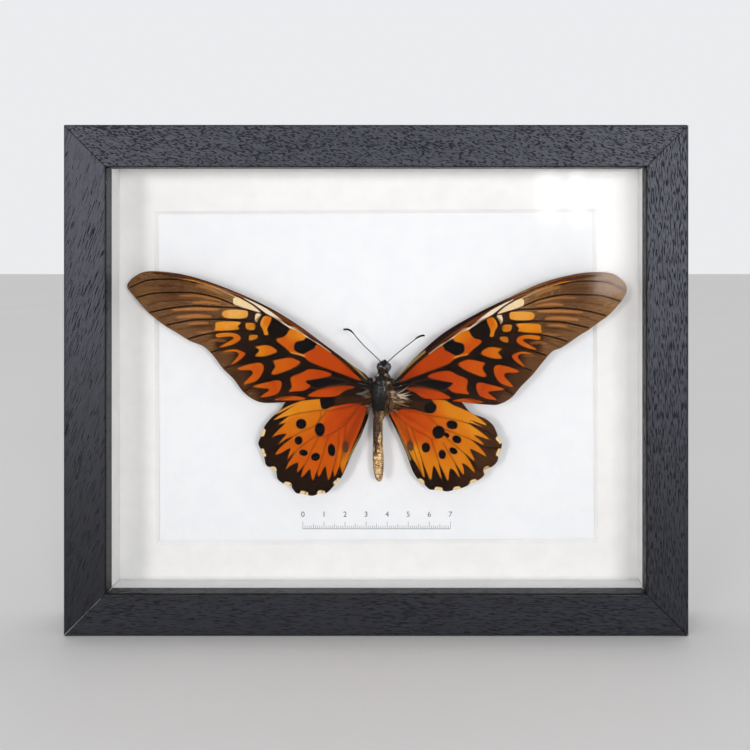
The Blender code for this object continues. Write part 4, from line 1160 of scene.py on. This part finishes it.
def body_point(z, angle, lift=0.0):
    """A point on the body's surface. Angle 0 is to the right and -90 degrees to the front."""
    x, half_width, depth, half_depth = section_at(z)
    return (x + (half_width + lift) * math.cos(angle), z, depth + (half_depth + lift) * math.sin(angle))


def loft(name, heights, sides, lift_of):
    """A closed skin through the body's sections, with lift_of(z, angle) added to its radius."""
    turns = [side / sides * 2 * math.pi for side in range(sides)]
    rings = [[at(*body_point(z, turn, lift_of(z, turn))) for turn in turns] for z in heights]
    return ring_skin(name, rings)


def rough(x, y, z, scale):
    return noise.noise(Vector((x, y, z)) * scale)


def thorax_lift(z, angle):
    """Plates and furrows of the thorax."""
    x, _, depth = body_point(z, angle)
    front = max(0.0, -math.sin(angle))
    furrow = -0.25 * math.exp(-((x - BODY_X) / 0.35) ** 2) * front
    plate = -0.22 * math.exp(-((z - 110.6 - 0.25 * abs(x - BODY_X)) / 0.35) ** 2) * front
    shield = -0.2 * math.exp(-((z - 101.6 + 0.3 * abs(x - BODY_X)) / 0.35) ** 2) * front
    return furrow + plate + shield + 0.16 * rough(x, depth, z, 0.9) + 0.05 * rough(x, depth, z, 3.1)


def abdomen_lift(z, angle):
    """Rings of the abdomen, each overlapping the next, with a fold along each side."""
    phase = (ABDOMEN_TOP - z) / SEGMENT % 1.0
    ring = 0.16 * math.sin(phase * math.pi) ** 0.6 - 0.1
    sharp = -0.1 * math.exp(-((phase - 0.98) / 0.05) ** 2)
    side = -0.12 * math.exp(-((abs(math.cos(angle)) - 0.86) / 0.1) ** 2)
    x, _, depth = body_point(z, angle)
    return ring + sharp + side + 0.08 * rough(x, depth, z, 1.6)


def head_lift(z, angle):
    x, _, depth = body_point(z, angle)
    return 0.12 * rough(x, depth, z, 1.8) + 0.05 * rough(x, depth, z, 5.0)


def ball(name, x, z, depth, radius, segments=32, squash=1.0, height=1.0, bumps=0.0):
    bm = bmesh.new()
    bmesh.ops.create_uvsphere(bm, u_segments=segments, v_segments=segments // 2, radius=1.0)
    for vert in bm.verts:
        lump = 1 + bumps * noise.noise(vert.co * 3.0)
        offset = Vector((vert.co.x, vert.co.y * squash, vert.co.z * height))
        vert.co = at(x, z, depth) + offset * radius * lump * MM
    return finished(bm, name)


def tube(name, path, radii, sides=10):
    """A tube through (x, z, depth) points with a radius at each, closed at both ends."""
    points = [at(*point) for point in path]
    rings = []
    for index, point in enumerate(points):
        run = (points[min(index + 1, len(points) - 1)] - points[max(index - 1, 0)]).normalized()
        side = run.cross(Vector((0, 1, 0))).normalized()
        up = side.cross(run)
        ring = []
        for corner in range(sides):
            angle = corner / sides * 2 * math.pi
            offset = side * math.cos(angle) + up * math.sin(angle)
            ring.append(point + offset * radii[index] * MM)
        rings.append(ring)
    return ring_skin(name, rings)


def antenna(name, path):
    """A ringed antenna that thickens into its bent club."""
    curve = smooth([(x, z, ANTENNA_DEPTH) for x, z in path], 26, closed=False)
    lengths = np.r_[0, np.cumsum(np.linalg.norm(np.diff(curve, axis=0), axis=1))]
    shares = lengths / lengths[-1]
    club = soft_step(shares, 0.74, 0.88) * (1 - soft_step(shares, 0.97, 1.0) * 0.5)
    rings = 0.92 + 0.16 * (np.arange(len(curve)) % 3 == 0)
    radii = (ANTENNA_RADIUS + (ANTENNA_CLUB_RADIUS - ANTENNA_RADIUS) * club) * rings
    return tube(name, [tuple(point) for point in curve], radii)


def strands(name, hairs):
    """Tapered three-sided hairs. Each is (root, direction, bend, length, radius, tint)."""
    corners, faces, tints = [], [], []
    for root, direction, bend, length, radius, tint in hairs:
        side = direction.cross(Vector((0.3, 1, 0.2))).normalized()
        up = side.cross(direction).normalized()
        start = len(corners)
        for share, width in ((0.0, 1.0), (0.5, 0.75)):
            middle = root + direction * length * share + bend * share**2
            for corner in range(3):
                angle = corner * 2 * math.pi / 3
                corners.append(middle + (side * math.cos(angle) + up * math.sin(angle)) * radius * width)
        corners.append(root + direction * length + bend)
        tints += [tint] * 7
        faces.append((start + 2, start + 1, start))
        for corner in range(3):
            following = (corner + 1) % 3
            faces.append((start + corner, start + following, start + 3 + following, start + 3 + corner))
            faces.append((start + 3 + corner, start + 3 + following, start + 6))
    mesh = bpy.data.meshes.new(name)
    mesh.from_pydata(corners, [], faces)
    give(mesh, "tint", tints)
    mesh.shade_smooth()
    return mesh


def body_hairs(seed, count, heights, angles, length, lay, tint_of, radius=0.035):
    """Hairs that lie over the body, pointing down it. lay is how far they stand off."""
    draw = random.Random(seed)
    found = []
    for _ in range(count):
        z = draw.uniform(*heights)
        angle = draw.uniform(*angles)
        root = at(*body_point(z, angle, -0.05))
        outer = at(*body_point(z, angle, 0.5))
        away = (outer - root).normalized()
        along = Vector((draw.uniform(-0.35, 0.35), 0, -1))
        direction = (away * lay * draw.uniform(0.6, 1.4) + along).normalized()
        size = length * draw.uniform(0.6, 1.3) * MM
        bend = -away * size * 0.25 + Vector((draw.uniform(-1, 1), draw.uniform(-1, 1), 0)) * size * 0.12
        thickness = radius * draw.uniform(0.7, 1.3) * MM
        found.append((root, direction, bend, size, thickness, tint_of(z, angle, draw)))
    return found


def tuft(seed, count, start, end, spread, direction, length, tints, radius=0.05):
    """Longer hairs that grow along a line from start to end, each (x, z, depth), and point in a direction."""
    draw = random.Random(seed)
    found = []
    first, last = Vector(start), Vector(end)
    for _ in range(count):
        place = first.lerp(last, draw.random())
        place += Vector([draw.gauss(0, spread) for _ in range(3)])
        root = at(place.x, place.y, place.z)
        aim = Vector(direction) + Vector([draw.gauss(0, 0.28) for _ in range(3)])
        size = length * draw.uniform(0.55, 1.25) * MM
        bend = Vector((draw.gauss(0, 0.15), draw.gauss(0, 0.1) + 0.12, draw.gauss(0, 0.15))) * size
        tint = draw.choice(tints) + draw.uniform(-0.06, 0.06)
        found.append((root, aim.normalized(), bend, size, radius * draw.uniform(0.7, 1.3) * MM, tint))
    return found


def hair_material():
    s = Shader("insect_hair")
    streak = s.noise(2600, 2.0, 0.6)
    tint = s.plus(s.value("tint"), s.spread(streak, 0.16))
    colour = s.ramp(tint, (
        (0.0, "#050302"), (0.22, "#1D0F07"), (0.42, "#4C2A14"), (0.6, "#8E6230"), (0.78, "#C39C5C"),
        (0.9, "#DDB79E"), (1.0, "#F0E0C8"),
    ))
    s.set(Base_Color=colour, Roughness=s.step(streak, 0.2, 0.8, 0.38, 0.6), Specular_IOR_Level=0.1)
    return s.material


def chitin_material(name, base, light, low_rough, high_rough, gloss):
    """Insect armour: dark, glossy, pitted and dusted with scales."""
    s = Shader(name)
    pits = s.cells(3200)
    dust = s.noise(1400, 4.0, 0.65)
    broad = s.noise(420, 3.0, 0.6)
    colour = s.mix(s.step(dust, 0.45, 0.75), base, light)
    colour = s.shade(colour, broad, 0.7, 1.3)
    s.set(
        Base_Color=colour, Roughness=s.step(dust, 0.3, 0.7, low_rough, high_rough), Specular_IOR_Level=0.1,
        Normal=s.bump(s.plus(pits, broad), 0.25, 0.0001), Coat_Weight=gloss, Coat_Roughness=0.06,
        Coat_Normal=s.bump(broad, 0.12, 0.0002),
    )
    return s.material


def abdomen_material():
    """Dark along the upper left, tan-gold and speckled on the right and towards the tip, with pale rings."""
    s = Shader("abdomen_scales")
    x, z = s.axis(0), s.axis(2)
    speckle = s.noise(1050, 4.0, 0.75)
    patches = s.noise(420, 3.0, 0.6)
    wander = s.spread(patches, 0.0030)
    edge = s.plus(s.step(z, 0.0770, 0.0870, -0.0008, 0.0005), s.step(z, 0.0872, 0.0892, 0.0, 0.0009))
    left_of_edge = s.step(s.minus(s.plus(x, wander), edge), 0.0003, -0.0003)
    above_tip = s.step(s.plus(z, s.times(wander, 1.5)), 0.0768, 0.0784)
    left_fringe = s.math("MAXIMUM", s.step(x, -0.0019, -0.0014), s.step(z, 0.0805, 0.0830))
    dark_share = s.times(s.times(left_of_edge, above_tip), left_fringe)
    blotch = s.times(s.step(x, 0.0012, 0.0019), s.step(patches, 0.47, 0.56))
    blotch = s.times(blotch, s.step(z, 0.0785, 0.0765))
    dark_share = s.math("MAXIMUM", dark_share, s.times(blotch, 0.85))
    segment = s.math("FRACT", s.math("DIVIDE", s.minus(ABDOMEN_TOP * MM, z), SEGMENT * MM))
    seam = s.step(segment, 0.86, 0.97)
    after_seam = s.step(segment, 0.10, 0.02)
    tan = s.ramp(speckle, ((0.36, "#5A3612"), (0.43, "#C8964E"), (0.52, "#F0CC92"), (0.62, "#FFF0CC")))
    tan = s.mix(s.step(patches, 0.44, 0.34), tan, "#8A5A1E")
    dark = s.ramp(speckle, ((0.38, "#120702"), (0.52, "#3C1E0B"), (0.64, "#8A6030")))
    colour = s.mix(dark_share, tan, dark)
    colour = s.mix(s.times(seam, 0.5), colour, "#2A1608")
    colour = s.mix(s.times(after_seam, s.step(speckle, 0.42, 0.6, 0.15, 0.6)), colour, "#C8AC92")
    s.set(
        Base_Color=colour, Roughness=s.step(speckle, 0.3, 0.7, 0.42, 0.66), Specular_IOR_Level=0.3,
        Normal=s.bump(s.plus(speckle, s.cells(2600)), 0.5, 0.00012),
    )
    return s.material


def eye_material(name, base, light):
    s = Shader(name)
    facets = s.cells(5200)
    broad = s.noise(700, 2.0)
    colour = s.mix(s.step(broad, 0.35, 0.65), base, light)
    s.set(
        Base_Color=s.shade(colour, facets, 1.15, 0.75), Roughness=s.step(broad, 0.3, 0.7, 0.16, 0.3),
        Specular_IOR_Level=0.2, Coat_Weight=1.0, Coat_Roughness=0.05, Normal=s.bump(facets, 0.35, 0.00006),
        Coat_Normal=s.bump(broad, 0.1, 0.0001),
    )
    return s.material


def show_body(name, mesh, material, *replaced):
    show(name, mesh, material, "chitin_and_hair", *replaced)


def show_tube(name, path, steps, radii_of, material):
    """A tube along a smooth path, with radii_of(points in the curve) as its radii."""
    curve = smooth(path, steps, closed=False)
    show_body(name, tube(name, [tuple(point) for point in curve], radii_of(len(curve))), material)


def wing_base_radii(count):
    return np.interp(np.linspace(0, 2, count), (0, 1, 2), WING_BASE_RADII)


def leg_radii(count):
    """Radii of a leg, thicker at its joints."""
    return 0.26 + 0.12 * np.abs(np.cos(np.linspace(0, 4 * math.pi, count)))


def make_body():
    """Head, thorax, abdomen, antennae, legs and hair, in place of the plain solid."""
    black = chitin_material("black_chitin", "#030202", "#100803", 0.3, 0.5, 0.45)
    brown = chitin_material("brown_chitin", "#0A0503", "#2E1B0D", 0.3, 0.5, 0.15)
    thin = chitin_material("antenna_chitin", "#020202", "#080706", 0.4, 0.6, 0.0)
    hair = hair_material()
    show_body("thorax", loft("thorax", THORAX_HEIGHTS, 72, thorax_lift), black, "butterfly_body")
    show_body("abdomen", loft("abdomen", ABDOMEN_HEIGHTS, 48, abdomen_lift), abdomen_material())
    show_body("head", loft("head", HEAD_HEIGHTS, 48, head_lift), brown)
    # The right eye's lighter purple-grey colours are a painted sheen: a lit copy of the left eye's dark
    # facets.
    eye_looks = (("left_eye", "#060505", "#15100F"), ("right_eye", "#1D1720", "#4A404C"))
    for (name, base, light), eye in zip(eye_looks, EYES):
        facets = eye_material(name + "_facets", base, light)
        show_body(name, ball(name, *eye, segments=48, height=EYE_HEIGHT), facets)
    for name, palp in zip(("left_palp", "right_palp"), PALPS):
        show_body(name, ball(name, *palp, squash=1.2, bumps=0.15), brown)
    for name, (x, z, depth, radius, height) in zip(("left_tegula", "right_tegula"), TEGULAE):
        show_body(name, ball(name, x, z, depth, radius, height=height, bumps=0.2), black)
    for count, path in enumerate(WING_BASES, start=1):
        show_tube(f"wing_base_{count}", path, 6, wing_base_radii, black)
    for name, path in (("left_antenna", LEFT_ANTENNA), ("right_antenna", RIGHT_ANTENNA)):
        show_body(name, antenna(name, path), thin)
    for side_name, side in (("left", -1), ("right", 1)):
        for pair, root_z in enumerate(LEG_ROOTS, start=1):
            path = [(BODY_X + side * out, root_z + up, depth) for out, up, depth in LEG_PATH]
            show_tube(f"{side_name}_leg_{pair}", path, 8, leg_radii, brown)
    make_hair(hair)


def make_hair(material):
    """Seeded hair on every part of the body. Tints run from 0, black, over brown and gold to 1, cream."""
    whole = (-math.pi, math.pi)

    def thorax_tint(z, angle, draw):
        flank = soft_step(abs(math.cos(angle)), 0.6, 0.95)
        return draw.uniform(0.02, 0.16) + flank * draw.uniform(0.0, 0.45)

    def right_flank_tint(z, angle, draw):
        return draw.choice((0.12, 0.2, 0.3, 0.4, 0.5, 0.62, 0.78)) + draw.uniform(-0.06, 0.06)

    def abdomen_tint(z, angle, draw):
        right = soft_step(math.cos(angle), 0.2, 0.7)
        gold = max(right, soft_step(-z, -80, -76))
        return draw.uniform(0.06, 0.24) + gold * draw.uniform(0.2, 0.75)

    def head_tint(z, angle, draw):
        return draw.uniform(0.02, 0.3)

    thorax = body_hairs(1, 2400, (97.0, 115.0), whole, 1.0, 0.3, thorax_tint)
    thorax += body_hairs(2, 1300, (97.0, 113.5), (-1.15, 0.6), 2.0, 0.45, right_flank_tint, 0.05)
    thorax += body_hairs(3, 700, (97.0, 113.5), (math.pi - 0.6, math.pi + 0.8), 1.8, 0.45, thorax_tint)
    thorax += body_hairs(4, 260, (96.4, 98.6), whole, 1.6, 0.35, right_flank_tint, 0.045)
    show_body("thorax_hair", strands("thorax_hair", thorax), material)
    abdomen = body_hairs(5, 4600, (65.6, 98.0), whole, 0.8, 0.22, abdomen_tint, 0.03)
    abdomen += body_hairs(6, 420, (84.0, 97.5), (-0.75, 0.3), 1.0, 0.4, right_flank_tint, 0.04)
    left_side = (math.pi - 0.3, math.pi + 0.6)
    abdomen += body_hairs(7, 300, (66.0, 82.0), left_side, 0.9, 0.3, right_flank_tint, 0.035)
    show_body("abdomen_hair", strands("abdomen_hair", abdomen), material)
    head = body_hairs(8, 900, (115.4, 121.2), whole, 0.9, 0.5, head_tint)
    for seed, (x, z, depth, count, tints) in enumerate(COLLAR_TUFTS, start=9):
        start, end = (x, z, depth), (x, z - 0.3, depth)
        head += tuft(seed, count, start, end, 0.28, (0.1, -1.0, -0.35), 0.9, tints, 0.085)
    show_body("head_hair", strands("head_hair", head), material)
    for name, tufts in WING_TUFTS.items():
        hairs = []
        for seed, (count, start, end, spread, direction, length, tints, radius) in enumerate(tufts, start=20):
            hairs += tuft(seed + len(name), count, start, end, spread, direction, length, tints, radius)
        show_body(name, strands(name, hairs), material)


# Printed scale on the card, in the place of its caption

SCALE_LENGTH = 70
SCALE_MIDDLE_X = -1.2
SCALE_BASE_Z = 40.6
NUMERAL_BASE_Z = 46.3
NUMERAL_SIZE = 3.6
INK_THICKNESS = 0.02
TICK_WIDTH = 0.16


def printed_scale():
    """A plain scale of centimetres and millimetres with its numerals, as a very thin print."""
    bm = bmesh.new()
    depth = CARD_FRONT - INK_THICKNESS

    def bar(low_x, high_x, low_z, high_z):
        low, high = at(low_x, low_z, depth), at(high_x, high_z, CARD_FRONT)
        made = bmesh.ops.create_cube(bm, size=1.0)
        bmesh.ops.scale(bm, vec=high - low, verts=made["verts"])
        bmesh.ops.translate(bm, vec=(low + high) / 2, verts=made["verts"])

    left = SCALE_MIDDLE_X - SCALE_LENGTH / 2
    bar(left, left + SCALE_LENGTH, SCALE_BASE_Z - 0.09, SCALE_BASE_Z + 0.09)
    for tick in range(SCALE_LENGTH + 1):
        height = 3.4 if tick % 10 == 0 else 2.4 if tick % 5 == 0 else 1.5
        bar(left + tick - TICK_WIDTH / 2, left + tick + TICK_WIDTH / 2, SCALE_BASE_Z, SCALE_BASE_Z + height)
    for number in range(SCALE_LENGTH // 10 + 1):
        text = bpy.data.curves.new("numeral", "FONT")
        text.body = str(number)
        text.size = NUMERAL_SIZE * MM
        text.align_x = "CENTER"
        text.extrude = INK_THICKNESS / 2 * MM
        source = bpy.data.objects.new("numeral", text)
        place = Matrix.Translation(at(left + number * 10, NUMERAL_BASE_Z, CARD_FRONT - INK_THICKNESS / 2))
        source.matrix_world = place @ Matrix.Rotation(math.pi / 2, 4, "X")
        bpy.context.scene.collection.objects.link(source)
        bpy.context.view_layer.update()
        seen = source.evaluated_get(bpy.context.evaluated_depsgraph_get())
        mesh = bpy.data.meshes.new_from_object(seen)
        mesh.transform(source.matrix_world)
        bm.from_mesh(mesh)
        bpy.data.objects.remove(source, do_unlink=True)
        bpy.data.meshes.remove(mesh)
    mesh = bpy.data.meshes.new("printed_scale")
    bm.to_mesh(mesh)
    bm.free()
    s = Shader("printing_ink")
    speckle = s.noise(3000, 3.0, 0.7)
    colour = s.mix(s.step(speckle, 0.35, 0.75), "#2B2B2E", "#55555A")
    s.set(Base_Color=colour, Roughness=s.step(speckle, 0.2, 0.8, 0.55, 0.8), Specular_IOR_Level=0.2)
    show("printed_scale", mesh, s.material, "backing_card")


# Stage, light and camera, in metres

# Strips of window light that the glass mirrors at its upper right, as (x, width, lower edge, power)
WINDOW_GLOWS = ((0.205, 0.03, 0.235, 0.35), (0.25, 0.02, 0.225, 0.35), (0.305, 0.06, 0.12, 1.1))
WINDOW_GLOW_TOP = 0.33
WINDOW_GLOW_Y = -1.0
# Soft lights (name, place, width, height, power, colour), where the glass doesn't mirror them to the camera
SOFTBOXES = (
    ("left_softbox", (-1.5, -3.0, 0.4), 0.7, 0.9, 32, (1.0, 0.985, 0.97)),
    ("right_softbox", (1.2, -3.0, 0.3), 0.6, 0.9, 23, (1.0, 1.0, 1.0)),
)
LIT_MIDDLE = (0.0, 0.0, 0.115)
ROOM_LIGHT = 0.5
BACKDROP_LIGHT = 0.86
CAMERA_PLACE = (0.0232, -0.4375, 0.1663)
CAMERA_LENS = 45.17
CAMERA_SHIFT = (-0.0707, -0.148)
FLOOR_SIZE = 30.0


def panel(name, place, aim, width, height, power, colour=(1, 1, 1)):
    """A soft rectangular light that faces a point. Sizes in metres, power in watts."""
    data = bpy.data.lights.new(name, "AREA")
    data.shape = "RECTANGLE"
    data.size = width
    data.size_y = height
    data.energy = power
    data.color = colour
    made = bpy.data.objects.new(name, data)
    bpy.context.scene.collection.objects.link(made)
    made.location = place
    made.rotation_euler = (Vector(aim) - Vector(place)).to_track_quat("-Z", "Y").to_euler()
    made.visible_camera = False
    return made


def light_world(tree):
    """A pale room whose back wall, behind the object, is lit more brightly than its front."""
    direction = tree.nodes.new("ShaderNodeTexCoord").outputs["Generated"]
    split = tree.nodes.new("ShaderNodeSeparateXYZ")
    reach = tree.nodes.new("ShaderNodeMapRange")
    reach.interpolation_type = "SMOOTHSTEP"
    settings = {"From Min": -0.1, "From Max": 0.5, "To Min": ROOM_LIGHT, "To Max": BACKDROP_LIGHT}
    for key, value in settings.items():
        reach.inputs[key].default_value = value
    background = tree.nodes["Background"]
    background.inputs["Color"].default_value = (0.97, 0.975, 1.0, 1.0)
    tree.links.new(direction, split.inputs[0])
    tree.links.new(split.outputs["Y"], reach.inputs["Value"])
    tree.links.new(reach.outputs["Result"], background.inputs["Strength"])


def set_stage():
    bpy.ops.mesh.primitive_plane_add(size=FLOOR_SIZE)
    floor = bpy.context.object
    floor.name = "floor"
    s = Shader("pale_floor")
    s.set(Base_Color=s.mix(s.noise(3, 3.0), "#EFEEEC", "#F4F3F1"), Roughness=0.7, Specular_IOR_Level=0.2)
    floor.data.materials.append(s.material)
    world = bpy.data.worlds.new("pale_studio")
    bpy.context.scene.world = world
    world.use_nodes = True
    light_world(world.node_tree)
    for name, place, *look in SOFTBOXES:
        panel(name, place, LIT_MIDDLE, *look)
    for count, (x, width, low, power) in enumerate(WINDOW_GLOWS, start=1):
        place = (x, WINDOW_GLOW_Y, (low + WINDOW_GLOW_TOP) / 2)
        panel(f"window_glow_{count}", place, (x, 0, place[2]), width, WINDOW_GLOW_TOP - low, power)
    camera_data = bpy.data.cameras.new("camera")
    camera_data.lens = CAMERA_LENS
    camera_data.shift_x, camera_data.shift_y = CAMERA_SHIFT
    camera = bpy.data.objects.new("camera", camera_data)
    bpy.context.scene.collection.objects.link(camera)
    camera.location = CAMERA_PLACE
    camera.rotation_euler = (math.pi / 2, 0, 0)
    bpy.context.scene.camera = camera
    bpy.context.scene.view_settings.view_transform = "Standard"


dress_frame()
make_wings()
make_body()
printed_scale()
set_stage()
